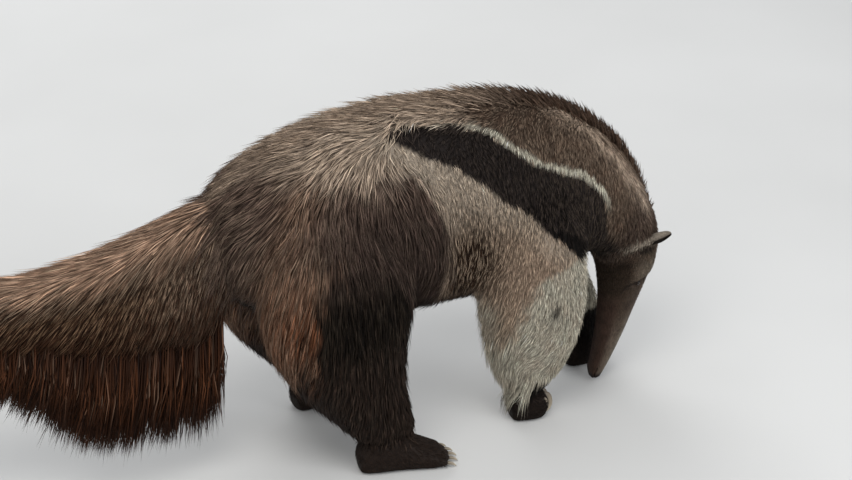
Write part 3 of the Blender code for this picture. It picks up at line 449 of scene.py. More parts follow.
class Form:
    """The surface through a list of rings, in places t along it and angles round it."""

    def __init__(self, rings):
        self.rings = np.array(rings, float)
        self.last = len(rings) - 1

    def at(self, t, angle, grow=0.0):
        """Points of the surface; 90 degrees is over or in front, 180 is the right side."""
        t, angle = np.broadcast_arrays(np.asarray(t, float), np.asarray(angle, float))
        over_x, over_z, under_x, under_z, y, half = smooth(self.rings, t.ravel()).T
        long = np.hypot(over_x - under_x, over_z - under_z)
        up_x, up_z = (over_x - under_x) / long, (over_z - under_z) / long
        mid_x = under_x + RING_WIDEST * (over_x - under_x)
        mid_z = under_z + RING_WIDEST * (over_z - under_z)
        across, along = np.cos(angle.ravel()), np.sin(angle.ravel())
        across = np.sign(across) * np.abs(across) ** (2 / RING_POWER)
        along = np.sign(along) * np.abs(along) ** (2 / RING_POWER)
        share = np.where(along > 0, 1 - RING_WIDEST, RING_WIDEST)
        reach = (long * share + grow) * along
        x, z = mid_x + up_x * reach, mid_z + up_z * reach
        return np.stack([x, y + (half + grow) * across, z], 1).reshape(*t.shape, 3)

    def frame(self, t, angle):
        """Points, outward normals and the ways along towards higher t."""
        step = 0.02
        t = np.clip(t, step, self.last - step)
        point = self.at(t, angle)
        along = unit(self.at(t + step, angle) - self.at(t - step, angle))
        across = unit(self.at(t, angle + step) - self.at(t, angle - step))
        normal = unit(np.cross(along, across))
        middle = (point + self.at(t, np.asarray(angle) + math.pi)) / 2
        facing = ((point - middle) * normal).sum(-1, keepdims=True)
        return point, np.where(facing < 0, -normal, normal), along

    def loft(self, end, rings, sides, depth):
        """Rows of the surface from its first ring to t = end, sunk in by a depth."""
        return self.at(np.linspace(0, end, rings)[:, None], turns(sides)[None, :], -depth)


def core_of_tail():
    """The tail's rings without the hair that hangs below it."""
    rings = []
    for ring in TAIL:
        under_x = ring.over_x + TAIL_CORE_DEPTH * (ring.under_x - ring.over_x)
        under_z = ring.over_z + TAIL_CORE_DEPTH * (ring.under_z - ring.over_z)
        half = TAIL_CORE_WIDTH * ring.half
        rings.append(ring._replace(under_x=under_x, under_z=under_z, half=half))
    return rings


def left_hindleg():
    back = HINDLEG_LEFT_BACK
    return [r._replace(over_x=r.over_x - back, under_x=r.under_x - back, y=-r.y) for r in HINDLEG]


def set_down(points, x, y, degrees):
    """Foot points turned outward about the ankle and set at its place on the floor."""
    c, s = math.cos(math.radians(degrees)), math.sin(math.radians(degrees))
    turn = np.array([[c, -s, 0.0], [s, c, 0.0], [0.0, 0.0, 1.0]])
    return np.asarray(points) @ turn.T + np.array([x, y, 0.0])


class FootForm(Form):
    """A foot's surface, turned and set at its place on the floor."""

    def __init__(self, rings, stand):
        super().__init__(rings)
        self.stand = stand

    def at(self, t, angle, grow=0.0):
        return raised(set_down(super().at(t, angle, grow), *self.stand), 0.0)


# Meshes from arrays


class Soup:
    """Points and faces gathered from several shapes."""

    def __init__(self):
        self.points = []
        self.faces = []
        self.count = 0

    def add(self, points, faces):
        points = np.asarray(points, float).reshape(-1, 3)
        self.points.append(points)
        self.faces += [tuple(int(i) + self.count for i in face) for face in faces]
        self.count += len(points)

    def add_rows(self, rows, capped=True):
        """A tube through rows of points, each row a loop."""
        rows = np.asarray(rows, float)
        count, sides = rows.shape[:2]
        faces = []
        for r in range(count - 1):
            for k in range(sides):
                after = (k + 1) % sides
                low, high = r * sides, (r + 1) * sides
                faces.append((low + k, low + after, high + after, high + k))
        if capped:
            faces.append(tuple(range(sides))[::-1])
            faces.append(tuple(range((count - 1) * sides, count * sides)))
        self.add(rows, faces)

    def mesh(self, name):
        mesh = bpy.data.meshes.new(name)
        mesh.from_pydata(np.concatenate(self.points).tolist(), [], self.faces)
        bm = bmesh.new()
        bm.from_mesh(mesh)
        bmesh.ops.recalc_face_normals(bm, faces=bm.faces)
        bm.to_mesh(mesh)
        bm.free()
        mesh.shade_smooth()
        return mesh

    def remeshed(self, name, voxel, passes):
        """One smooth closed surface round shapes that overlap: its points and its faces."""
        obj = linked(name, self.mesh(name))
        remesh = obj.modifiers.new("remesh", "REMESH")
        remesh.mode = "VOXEL"
        remesh.voxel_size = voxel
        relax = obj.modifiers.new("relax", "SMOOTH")
        relax.factor = 0.5
        relax.iterations = passes
        bpy.context.view_layer.update()
        seen = obj.evaluated_get(bpy.context.evaluated_depsgraph_get())
        mesh = bpy.data.meshes.new_from_object(seen)
        bpy.data.objects.remove(obj)
        points = from_mesh(mesh.vertices, "co", 3)
        faces = [tuple(polygon.vertices) for polygon in mesh.polygons]
        bpy.data.meshes.remove(mesh)
        return points, faces


def linked(name, data):
    obj = bpy.data.objects.new(name, data)
    bpy.context.scene.collection.objects.link(obj)
    return obj


def from_mesh(items, name, width, kind=float):
    """A value of every item of a mesh, as rows of an array."""
    values = np.empty(len(items) * width, kind)
    items.foreach_get(name, values)
    return values.reshape(-1, width)


def tree_of(points):
    """A tree that finds the nearest of some points."""
    tree = KDTree(len(points))
    for k, point in enumerate(points.tolist()):
        tree.insert(point, k)
    tree.balance()
    return tree


def rod(path, radii, sides, flat=1.0, lowest=0.0):
    """Rows of a tapering rod along a path; flat squeezes it sideways."""
    path = np.asarray(path, float)
    ways = unit(np.gradient(path, axis=0))
    sideways = np.cross(ways, AWAY)
    sideways[np.linalg.norm(sideways, axis=1) < 0.1] = FORWARD
    sideways = unit(sideways)
    over = np.cross(ways, sideways)
    angles = turns(sides)[None, :, None]
    rows = path[:, None] + np.asarray(radii)[:, None, None] * (
        sideways[:, None] * np.cos(angles) + over[:, None] * flat * np.sin(angles)
    )
    return raised(rows, lowest)


# The head


def side_degrees(angle):
    """Degrees up from the side's widest line, the same on the left and on the right."""
    return np.degrees(np.arcsin(np.clip(np.sin(angle), -1, 1)))


def on_head_side(up_side, low, high, soft=12):
    """The share of a band of degrees on the head's sides, with soft edges."""
    return ease(up_side, low - soft, low + soft) * (1 - ease(up_side, high - soft, high + soft))


def temple_edge(up_side):
    """Where along the head the temple ends over the eye."""
    return 13.46 + 0.010 * np.maximum(-6 - up_side, 0)


def ear_ridge(t, up_side, width):
    """The share of the ridge that runs from the ear down behind the cheek."""
    return hump(t - 11.18 - 0.014 * up_side, width) * on_head_side(up_side, -20, 34, 8)


def head_place(trunk, place, mirror):
    """The point, the outward way and the way along at a place of the head."""
    t, degrees = place
    angle = math.radians(degrees if mirror > 0 else 180 - degrees)
    point, normal, along = trunk.frame(np.array([t]), np.array([angle]))
    return point[0], normal[0], along[0]


def eye_frame(trunk, mirror):
    """The eye's centre, the outward way, the way along the head, and the way up its side."""
    point, normal, along = head_place(trunk, EYE_PLACE, mirror)
    over = unit(np.cross(normal, along))
    if over @ (head_place(trunk, (EYE_PLACE[0], 90), mirror)[0] - point) < 0:
        over = -over
    return point - normal * EYE_SINK, normal, along, over


def line_gap(points, trunk, line, mirror):
    """How far each point is from a line of places on the head."""
    path = np.array([head_place(trunk, place, mirror)[0] for place in line])
    dense = smooth(path, np.linspace(0, len(path) - 1, 12 * len(path)))
    return np.min([gap(points, spot) for spot in dense], axis=0)


def head_relief(trunk, points, t, angle):
    """How far the head's skin stands over the plain form at each point."""
    up_side = side_degrees(angle)
    edge = temple_edge(up_side)
    temple = hump(t - 12.90, 0.75) * on_head_side(up_side, -8, 44)
    height = 0.0064 * temple * (1 - ease(t, edge - 0.16, edge + 0.03))
    height -= 0.0034 * hump(t - edge - 0.12, 0.16) * on_head_side(up_side, -22, 38, 10)
    height += ear_ridge(t, up_side, 0.075) * (0.0022 + 0.0034 * ease(up_side, -17, 22))
    height -= 0.0016 * ear_ridge(t - 0.17, up_side, 0.10)
    for place, reach, low, high, soft, rise in HEAD_SWELLS:
        height += rise * hump(t - place, reach) * on_head_side(up_side, low, high, soft)
    for mirror in MIRRORS.values():
        for line, away, width, rise in HEAD_LINES:
            height += rise * hump(line_gap(points, trunk, line, mirror) - away, width)
        height += 0.0014 * hump(gap(points, head_place(trunk, MOLE, mirror)[0]), 0.0024)
    return height


def head_wrinkles(points, t, angle):
    """Fine creases across the snout, and folds behind the jaw."""
    snout = ease(t, 14.2, 15.6) * (1 - ease(t, 18.3, 18.8))
    wander = 1.6 * drift(points, 0.05, 5)
    fine = 0.00016 * np.sin(t * 26 + wander * 3) * snout * (0.5 + 0.5 * np.cos(angle * 2))
    folds = 0.0008 * np.sin(t * 9 + wander) * (1 - ease(t, 12.6, 13.4)) * ease(t, 11.0, 11.8)
    return fine + folds * np.clip(-np.sin(angle), 0, 1)


def relief_rows(trunk, t, sides, details=None):
    """Rows of the head's surface at places t, with details added to its relief."""
    t_grid, angle_grid = flat_grid(t, turns(sides))
    plain, normal, _ = trunk.frame(t_grid, angle_grid)
    height = head_relief(trunk, plain, t_grid, angle_grid) - HEAD_DEPTH
    if details is not None:
        height += details(plain, t_grid, angle_grid)
    return (plain + normal * height[:, None]).reshape(len(t), sides, 3)


def head_rows(trunk):
    """The head as a fine grid of rows from under the neck's fur to the snout's tip."""

    def details(points, t, angle):
        height = head_wrinkles(points, t, angle)
        for mirror in MIRRORS.values():
            far = gap(points, eye_frame(trunk, mirror)[0])
            height -= 0.0085 * (1 - ease(far, 0.0070, 0.0125))
        # The rear end goes in under the neck's skin.
        return height - 0.006 * (1 - ease(t, HEAD_START, HEAD_START + 0.5))

    spans = [np.linspace(start, end, count, endpoint=False) for start, end, count in HEAD_ROWS]
    return close_snout(relief_rows(trunk, np.concatenate([*spans, [SNOUT_END]]), HEAD_SIDES, details))


def close_snout(rows):
    """The rows with a rounded end put on the snout."""
    last = rows[-1]
    middle = last.mean(0)
    ahead = unit(middle - rows[-4].mean(0))
    cap = []
    for share in SNOUT_CAP:
        bulge = 0.0035 * math.sqrt(1 - share**2)
        cap.append(middle + (last - middle) * share + ahead * bulge)
    return np.concatenate([rows, np.array(cap)])


def plain_head_tree(trunk):
    """The head with its temples, but without the hollows that the eyes sit in."""
    soup = Soup()
    soup.add_rows(relief_rows(trunk, np.linspace(12.0, 15.4, 90), 130), capped=False)
    return BVHTree.FromPolygons(np.concatenate(soup.points).tolist(), soup.faces)


def ground_height(surface, spot, out):
    """How far a surface lies from a spot along a direction."""
    hit = surface.ray_cast(Vector(spot + out * 0.03), Vector(-out))[0]
    return float((np.array(hit) - spot) @ out) if hit is not None else 0.0


def eye_patch(trunk, surface, mirror):
    """The lids and the folds round an eye, as rows from inside the opening outward."""
    centre, out, along, over = eye_frame(trunk, mirror)
    angles = turns(72)
    cosine, sine = np.cos(angles), np.sin(angles)
    half_height = np.where(sine > 0, *EYE_HALF_HEIGHTS)
    opening = 1 / np.sqrt((cosine / EYE_HALF_LENGTH) ** 2 + (sine / half_height) ** 2)
    opening = opening * (1 + 0.06 * np.abs(cosine) ** 1.2)
    ways = along * cosine[:, None] + over * sine[:, None]
    ball = np.sqrt(np.maximum(EYE_RADIUS**2 - opening**2, 1e-6))
    edge = np.maximum(ball, EYE_SINK - 0.0010) + 0.0007
    rows = []
    for inward, height in ((0.0004, ball - 0.0016), (0.0005, edge - 0.0006), (0.0001, edge - 0.0001)):
        rows.append(centre + ways * (opening - inward)[:, None] + out * height[:, None])
    for share in np.linspace(0.02, 1.0, 34) ** 1.25:
        past = (LID_REACH - opening) * share
        spots = centre + ways * (opening + past)[:, None]
        ground = np.array([ground_height(surface, spot, out) for spot in spots])
        height = ground + (edge - ground) * hump(past, 0.0034)
        height -= 0.0008 * hump(past - 0.0030, 0.0008) * (0.7 + 0.3 * sine)
        height += 0.0005 * hump(past - 0.0045, 0.0010)
        height -= 0.0004 * hump(past - 0.0062, 0.0007) * (0.5 + 0.5 * np.cos(2 * angles))
        height -= 0.0022 * ease(share, 0.82, 1.0)
        rows.append(spots + out * height[:, None])
    return np.array(rows)


def eyeball(trunk, mirror):
    """A ball with a low cornea, and how far each point turns from its axis."""
    centre, out, along, over = eye_frame(trunk, mirror)
    look = unit(out + along * 0.10 + over * 0.05)
    side = unit(np.cross(look, over))
    top = np.cross(side, look)
    angles = turns(48)[:, None]
    spread = side * np.cos(angles) + top * np.sin(angles)
    tilts = np.linspace(0.0, math.pi, 40)
    tilts[0], tilts[-1] = 0.002, math.pi - 0.002
    rows = []
    for tilt in tilts:
        radius = EYE_RADIUS * (1 + 0.05 * hump(tilt, 0.55))
        rows.append(centre + radius * (look * math.cos(tilt) + spread * math.sin(tilt)))
    return np.array(rows), np.repeat(tilts, len(angles))


def ear_rows(trunk, mirror):
    """The rolled leaf of an ear: rows of a closed loop from its root to its tip."""
    root = head_place(trunk, EAR_PLACE, mirror)[0]
    sideways = np.array([1.0, mirror, 1.0])
    way = unit(np.array(EAR_WAY) * sideways)
    opening = into_surface(np.array(EAR_OPENING) * sideways, way)
    half = math.radians(EAR_HALF_ARC)
    angles = np.linspace(-half, half, 40)
    round_it = np.cross(way, opening) * np.sin(angles)[:, None] - opening * np.cos(angles)[:, None]
    rows = []
    places = np.linspace(0, len(EAR_STEPS) - 1, 46)
    for step, radius in zip(smooth_numbers(EAR_STEPS, places), smooth_numbers(EAR_RADII, places)):
        centre = root + way * EAR_LENGTH * step
        ripple = 0.0004 * np.sin(5 * angles + 9 * step)
        wall = EAR_WALL * (0.35 + 0.65 * (1 - (np.abs(angles) / half) ** 3))
        wall = wall * (1 - 0.45 * ease(step, 0.5, 1.0))
        outer = EAR_WIDTH * radius - 0.0004
        inner = np.maximum(outer - wall, 0.0008)
        back = centre + round_it * (outer + ripple)[:, None]
        front = centre + round_it * (inner + ripple)[:, None]
        rows.append(np.concatenate([back, front[::-1]]))
    return np.array(rows)


# Feet and claws


def hind_toes(stand):
    """Where each toe of a hind foot starts and ends."""
    toes = []
    for k in range(HIND_TOES):
        share = k / (HIND_TOES - 1) * 2 - 1
        spread = math.radians(9 * share)
        start = np.array([0.088 - 0.010 * share**2, 0.031 * share, 0.0125])
        end = start + np.array([math.cos(spread), math.sin(spread), -0.12]) * TOE_LENGTH
        toes.append(set_down([start, end], *stand))
    return toes


def hind_claw_rows(start, end):
    way = unit(end - start)
    root = end - way * 0.006 - DOWN * 0.0015
    path = [
        root,
        root + way * HIND_CLAW_LENGTH * 0.45 - DOWN * 0.0008,
        root + way * HIND_CLAW_LENGTH * 0.8 + DOWN * 0.0014,
        root + way * HIND_CLAW_LENGTH + DOWN * 0.0050,
    ]
    t = np.linspace(0, 3, 26)
    return rod(smooth(path, t), smooth_numbers(HIND_CLAW_RADII, t), 18, 0.8, CLAW_LOWEST)


def fore_claws(stand):
    """The path and the thickness of each large claw of a forefoot."""
    claws = []
    for inward, length, thick in FORE_CLAWS:
        side = -inward if stand[1] > 0 else inward
        front = FIST_FRONT - FIST_ROUND * side**2
        path = []
        for ahead, height in FORE_CLAW_CURVE:
            z = max(FORE_CLAW_ROOT + height * length, 0.003)
            path.append([front + ahead * length, side * (1 - 0.2 * ahead), z])
        claws.append((set_down(path, *stand), thick))
    return claws


def fore_claw_rows(path, thick):
    t = np.linspace(0, len(FORE_CLAW_CURVE) - 1, 44)
    radii = np.maximum(thick * smooth_numbers(FORE_CLAW_TAPER, t), 0.0005)
    return rod(smooth(path, t), radii, 24, FORE_CLAW_FLAT, CLAW_LOWEST)


def add_forefoot(soup, stand):
    """A fist: the palm, and a swelling at the root of each claw."""
    soup.add_rows(FootForm(FOREFOOT, stand).loft(len(FOREFOOT) - 1, 18, 32, FOOT_DEPTH))
    for path, thick in fore_claws(stand):
        start = path[0] - (path[1] - path[0]) * 0.9
        joint = smooth([start, path[0], path[1]], np.linspace(0, 1.45, 6))
        soup.add_rows(rod(joint, thick * np.array(KNUCKLE_TAPER), 14, lowest=0.001))


def add_hindfoot(soup, stand):
    """The sole, and the arched toes before it."""
    soup.add_rows(FootForm(HINDFOOT, stand).loft(len(HINDFOOT) - 1, 22, 36, FOOT_DEPTH))
    for start, end in hind_toes(stand):
        path = np.array([start, start + (end - start) * 0.5, end]) + np.array(TOE_ARCH)
        middle = smooth(path, np.linspace(0, 2, len(TOE_TAPER)))
        soup.add_rows(rod(middle, TOE_RADIUS * np.array(TOE_TAPER), 14))


# The skin


class Skin:
    """The whole skin, with a tree for the coat to find its places on."""

    def __init__(self, forms):
        trunk = forms["trunk"]
        body = Soup()
        body.add_rows(trunk.loft(11.6, 60, 64, BODY_DEPTH))
        body.add_rows(forms["tail"].loft(TAIL_CORE_END, 50, 40, BODY_DEPTH))
        for name in LEGS:
            body.add_rows(forms[name].loft(LEG_END, 40, 40, BODY_DEPTH))
        feet = Soup()
        for stand in FOREFEET.values():
            add_forefoot(feet, stand)
        for stand in HINDFEET.values():
            add_hindfoot(feet, stand)
        soup = Soup()
        soup.add(*body.remeshed("body_shapes", BODY_VOXEL, 8))
        self.body_end = soup.count
        soup.add(*feet.remeshed("foot_shapes", FOOT_VOXEL, 4))
        self.feet_end = soup.count
        soup.add_rows(head_rows(trunk))
        lidless = plain_head_tree(trunk)
        for mirror in MIRRORS.values():
            soup.add_rows(eye_patch(trunk, lidless, mirror), capped=False)
        self.points = np.concatenate(soup.points)
        self.mesh = soup.mesh("skin")
        self.unwrap()
        self.index()

    def unwrap(self):
        """The unwrap that skin and coat share."""
        self.mesh.uv_layers.new(name="OFBake")
        obj = linked("skin_to_unwrap", self.mesh)
        bpy.context.view_layer.objects.active = obj
        obj.select_set(True)
        bpy.ops.object.mode_set(mode="EDIT")
        bpy.ops.mesh.select_all(action="SELECT")
        bpy.ops.uv.smart_project(angle_limit=math.radians(66), island_margin=0.004)
        bpy.ops.object.mode_set(mode="OBJECT")
        bpy.data.objects.remove(obj)

    def index(self):
        mesh = self.mesh
        mesh.calc_loop_triangles()
        self.corners = from_mesh(mesh.loop_triangles, "vertices", 3, np.int32)
        loops = from_mesh(mesh.loop_triangles, "loops", 3, np.int32)
        self.uv = from_mesh(mesh.uv_layers["OFBake"].uv, "vector", 2)[loops]
        self.tree = BVHTree.FromPolygons(self.points.tolist(), self.corners.tolist())

    def nearest(self, points):
        """The nearest places of the skin, their normals and their triangles."""
        found = [self.tree.find_nearest(point) for point in points.tolist()]
        places, normals = (np.array([hit[k][:] for hit in found]) for k in (0, 1))
        return places, normals, np.array([hit[2] for hit in found])

    def uv_at(self, places, triangles):
        """Where places of the skin lie in its unwrap."""
        a, b, c = (self.points[self.corners[triangles, k]] for k in range(3))
        whole = np.cross(b - a, c - a)
        size = np.maximum((whole * whole).sum(1), 1e-20)
        second = (np.cross(places - a, c - a) * whole).sum(1) / size
        third = (np.cross(b - a, places - a) * whole).sum(1) / size
        shares = np.stack([1 - second - third, second, third], 1)
        return (self.uv[triangles] * shares[..., None]).sum(1)


# Markings


def distance_to_line(x, z, line):
    """How far points are from a line of x and z, in that plane."""
    far = np.full(len(x), np.inf)
    for (x0, z0), (x1, z1) in zip(line, line[1:]):
        along_x, along_z = x1 - x0, z1 - z0
        share = ((x - x0) * along_x + (z - z0) * along_z) / (along_x**2 + along_z**2)
        share = np.clip(share, 0, 1)
        far = np.minimum(far, np.hypot(x - x0 - share * along_x, z - z0 - share * along_z))
    return far


def inside_outline(x, z, outline):
    """True for the points inside a closed outline of x and z."""
    inside = np.zeros(len(x), bool)
    ends = outline[1:] + outline[:1]
    for (x0, z0), (x1, z1) in zip(outline, ends):
        crosses = (z0 > z) != (z1 > z)
        at_x = x0 + (z - z0) * (x1 - x0) / ((z1 - z0) or 1e-9)
        inside ^= crosses & (x < at_x)
    return inside


def stripe(points):
    """Three shares: black stripe, white line over it, and pale edge under it."""
    x, z = points[:, 0], points[:, 2]
    jitter = 0.0022 * drift(points, 0.030, 3)
    to_top = distance_to_line(x, z, STRIPE_TOP)
    to_low = distance_to_line(x, z, STRIPE_LOW)
    inside = inside_outline(x, z, STRIPE_TOP + STRIPE_LOW[::-1])
    depth = np.where(inside, 1, -1) * np.minimum(to_top, to_low) + jitter
    black = ease(depth, -0.0008, 0.0008)
    over = ~inside & (to_top < to_low)
    width = 0.0025 + 0.0060 * ease(x, -0.23, -0.08)
    white = np.where(over, 1 - ease(to_top + jitter, width, width + 0.005), 0.0)
    white = white * (0.50 + 0.50 * ease(x, -0.20, -0.10)) * ease(z, 0.42, 0.48) * ease(x, -0.31, -0.27)
    pale = np.where(~inside & ~over, 1 - ease(to_low, 0.006, 0.060), 0.0)
    return black, white * (1 - black), pale * (1 - black)


def line_x(z, line):
    """The x of a line at heights z."""
    ordered = sorted(line, key=lambda place: place[1])
    return np.interp(z, [p[1] for p in ordered], [p[0] for p in ordered])


def line_z(x, line):
    """The height of a line at places x."""
    return np.interp(x, [p[0] for p in line], [p[1] for p in line])


def back_look(points, t, angle):
    """The ticked back and neck, with the pale band beside the mane."""
    x = points[:, 0]
    on_neck = ease(x + 0.02 * drift(points, 0.06, 7), -0.24, -0.10)
    browner = patchy(points, 0.14 + 0.30 * ease(-x, 0.42, 0.56), 0.18, 0.06, 8)
    back = mixed(BACK_HAIR, BROWN_HAIR, browner)
    neck = mixed(NECK_HAIR, BROWN_HAIR, patchy(points, 0.25, 0.25, 0.04, 9))
    neck = mixed(neck, UMBER_HAIR, 0.75 * ease(t, 9.0, 10.4))
    from_top = np.abs(np.degrees(angle) % 360 - 90)
    band = hump(from_top - 4 - 30 * ease(x, 0.06, 0.22), 15)
    band = band * ease(x, 0.0, 0.08) * (1 - ease(t, 10.0, 11.0))
    blotch = 0.68 + 0.30 * drift(points, 0.034, 40)
    colour = mixed(mixed(back, neck, on_neck), BACK_HAIR, np.clip(band * blotch, 0, 1))
    return colour, 0.55 - 0.18 * on_neck - 0.20 * ease(t, 8.8, 10.2)


def flank_look(points):
    """The dark flank, paler over the rump and down from the hip."""
    x, z = points[:, 0], points[:, 2]
    rump = ease(-0.46 - x, -0.02, 0.06)
    dark_from = 0.565 + 0.1 * rump + 0.055 * ease(x, -0.47, -0.37) + 0.012 * drift(points, 0.03, 45)
    colour = mixed(GREY_HAIR, UMBER_HAIR, ease(dark_from - z, 0, 0.13) * (1 - 0.75 * rump))
    colour = mixed(colour, HIP_HAIR, 0.25 * rump)
    return mixed(colour, THIGH_HAIR, 0.75 * hip_band(x, z)), 0.10 + 0.22 * rump


def trunk_look(points, normals, t, angle):
    """The hair's colour on the trunk, neck and head, and how far some hairs' tips are paler."""
    x, z, up = points[:, 0], points[:, 2], normals[:, 2]
    colour, ticks = back_look(points, t, angle)
    ahead = ease(x - line_x(z, FLANK_FRONT) + 0.008 * drift(points, 0.04, 10), -0.014, 0.014)
    below = ease(line_z(x, FLANK_TOP) - z + 0.012 * drift(points, 0.05, 11), -0.025, 0.045)
    on_flank = below * (1 - ahead) * (1 - ease(x, 0.02, 0.06))
    flank, flank_ticks = flank_look(points)
    colour = mixed(colour, flank, on_flank)
    ticks = ticks * (1 - on_flank) + on_flank * flank_ticks
    whorl = hump(np.hypot((x + 0.335) / 1.4, z - 0.650), 0.045)
    colour = mixed(colour, PALE_HAIR, 0.55 * whorl)
    on_shoulder = ahead * ~above_stripe(x, z)
    colour = mixed(colour, shoulder_colours(x, z), on_shoulder)
    ticks = ticks * (1 - on_shoulder) + on_shoulder * (0.55 + 0.40 * ease(0.56 - z, 0.0, 0.12))
    belly = ease(-up, 0.35, 0.85) * (1 - ease(t, 10.8, 11.6))
    black, white, pale = stripe(points)
    colour = mixed(colour, STRIPE_EDGE_HAIR, 0.7 * pale * (1 - belly))
    colour = mixed(colour, CREAM_HAIR, white * (1 - belly))
    colour = mixed(colour, DARK_HAIR, belly)
    bib = ease(-up, 0.25, 0.55) * ease(x, 0.02, 0.06) * (1 - ease(t, 10.6, 11.2))
    black = np.maximum(black, bib)
    colour = mixed(colour, STRIPE_HAIR, black)
    on_head = ease(t, 10.9, 12.0)
    colour = mixed(colour, head_look(points, normals, t, angle)[0], on_head)
    plain = np.maximum.reduce([black, white, belly, on_head])
    black_ticks = (0.06 + 0.10 * ease(x, -0.06, 0.08)) * black
    return ridged(colour, t, angle), ticks * (1 - plain) + black_ticks


def hip_band(x, z):
    """The share of the paler brown that runs from the hip down behind the thigh."""
    return hump(distance_to_line(x, z, HIP_LINE), 0.034)


def above_stripe(x, z):
    """True over the stripe's upper edge, and level with it behind and ahead."""
    top_x = [place[0] for place in STRIPE_TOP]
    top_z = [place[1] for place in STRIPE_TOP]
    return z > np.interp(x, top_x, top_z, right=-1.0)


def shoulder_colours(x, z):
    """From pale under the stripe to dark brown at the elbow."""
    elbow = hump(np.hypot(x + 0.175, (z - 0.390) / 1.5), 0.062)
    colour = mixed(PALE_HAIR, SAND_HAIR, ease(0.53 - z, 0.0, 0.12))
    colour = mixed(colour, TAN_HAIR, 0.35 * ease(0.48 - z, 0.0, 0.10))
    colour = mixed(colour, ELBOW_HAIR, np.clip(elbow * 1.5, 0, 1))
    return mixed(colour, ARM_HAIR, ease(0.33 - z, 0, 0.08))


def ridged(colour, t, angle):
    """The colours with the pale ridge below the ear, and painted shade in the furrow under it."""
    up_side = side_degrees(angle)
    pale = ear_ridge(t + 0.12, up_side, 0.17) * (0.55 + 0.40 * ease(up_side, -20, 4))
    # Painted shade: the furrow under the ridge is darkened
    dark = ear_ridge(t - 0.26, up_side, 0.13) * ease(up_side, -8, 10)
    return mixed(mixed(colour, RIDGE_HAIR, pale), CREASE_SHADE_HAIR, 0.8 * dark)


def head_look(points, normals, t, angle):
    """The head's short hair: pale at the ears, with painted light on the temples, painted shade round
    the eye, dark at the throat, and a painted sheen along the snout's top.
    """
    up_side = side_degrees(angle)
    colour = mixed(HEAD_HAIR, BROWN_HAIR, patchy(points, 0.3, 0.3, 0.03, 12))
    throat = 1 - ease(up_side, -22, 4)
    colour = mixed(colour, THROAT_HAIR, throat * (1 - ease(t, 14.0, 15.0)))
    edge = temple_edge(up_side)
    # Painted light: the bulge of the temple is painted paler
    temple = hump(t - 12.85, 0.66) * ease(up_side, -14, 12) * (1 - ease(t, edge - 0.14, edge))
    colour = mixed(colour, TEMPLE_LIGHT_HAIR, 0.9 * temple)
    snout = ease(t, 13.7, 14.6)
    along = ease(t, 14.6, 16.6)
    over = ease(up_side + 4 * drift(points, 0.03, 13), -4, 40)
    snout_side = mixed(THROAT_HAIR, HEAD_HAIR, 0.05 + 0.95 * along)
    # A painted sheen: the snout's top is painted paler grey
    snout_sheen = mixed(HEAD_HAIR, SNOUT_SHEEN_HAIR, along - 0.25 * (1 - along))
    snout_colour = mixed(mixed(SNOUT_LOW_HAIR, snout_side, ease(up_side, -40, -8)), snout_sheen, over)
    colour = mixed(colour, snout_colour, snout)
    # Painted shade in the crease under the temple, where the eye sits
    crease_shade = hump(t - edge - 0.10, 0.17) * on_head_side(up_side, -24, 42, 8)
    colour = mixed(colour, CREASE_SHADE_HAIR, 0.95 * crease_shade)
    # Painted shade in the hollow ahead of the eye
    hollow_shade = hump(t - edge - 0.50, 0.35) * on_head_side(up_side, -26, 26, 10)
    colour = mixed(colour, THROAT_HAIR, 0.6 * hollow_shade)
    return ridged(colour, t, angle), 0.06 * (1 - snout)


def leg_shift(z, side):
    """How far ahead of the right foreleg a foreleg is, at heights z."""
    if side == "right":
        return np.zeros(len(z))
    middles = []
    for rings in (FORELEG_LEFT, FORELEG_RIGHT):
        heights = [-(r.over_z + r.under_z) / 2 for r in rings]
        places = [(r.over_x + r.under_x) / 2 for r in rings]
        middles.append(np.interp(-z, heights, places))
    return middles[0] - middles[1]


def foot_look(points, normals, t, angle):
    """Nearly black, a little browner on the hind feet."""
    hind = (points[:, 0] < -0.2).astype(float)
    colour = mixed(BLACK_HAIR, DARK_HAIR, 0.40 + 0.5 * hind)
    return colour, np.zeros(len(points))


def foreleg_look(side):
    """How a foreleg's hair looks: mottled at the elbow, nearly white below, black on the hand."""
    hand_low, hand_rise = HAND_TOPS[side]

    def look(points, normals, t, angle):
        z = points[:, 2]
        x = points[:, 0] - leg_shift(z, side)
        colour = shoulder_colours(x, z)
        edge = x - line_x(z, FOREARM_EDGE) + 0.008 * drift(points, 0.03, 14)
        forearm = ease(edge, -0.022, 0.020) * ease(0.385 - z, 0, 0.012)
        forearm = np.maximum(forearm, ease(0.185 - z, 0.0, 0.060))
        behind = ease(-np.sin(angle), 0.62, 0.95) * ease(0.32 - z, 0.0, 0.05)
        forearm = np.maximum(forearm, 0.8 * behind)
        cream = mixed(CREAM_HAIR, PALE_HAIR, patchy(points, 0.18, 0.2, 0.05, 15))
        colour = mixed(colour, cream, forearm)
        ticks = 0.90 * (1 - forearm) + 0.15 * forearm
        black, _, pale = stripe(np.stack([x, points[:, 1], z], 1))
        colour = mixed(colour, STRIPE_EDGE_HAIR, 0.7 * pale * (1 - forearm))
        black = black * (z > 0.36) * (normals[:, 1] * points[:, 1] > -0.02)
        hand = ease(hand_low + hand_rise * ease(x, -0.034, -0.014) - z, -0.004, 0.006)
        inner = ease(-normals[:, 1] * np.sign(points[:, 1]), 0.2, 0.8) * ease(z, 0.20, 0.30)
        spot = hump(np.hypot((x - SPOT[0] - 0.3 * (z - SPOT[1])) / 0.55, z - SPOT[1]), SPOT_RADIUS)
        black = np.maximum.reduce([black, hand, 0.9 * inner, (side == "right") * spot])
        return mixed(colour, BLACK_HAIR, black), ticks * (1 - black)

    return look


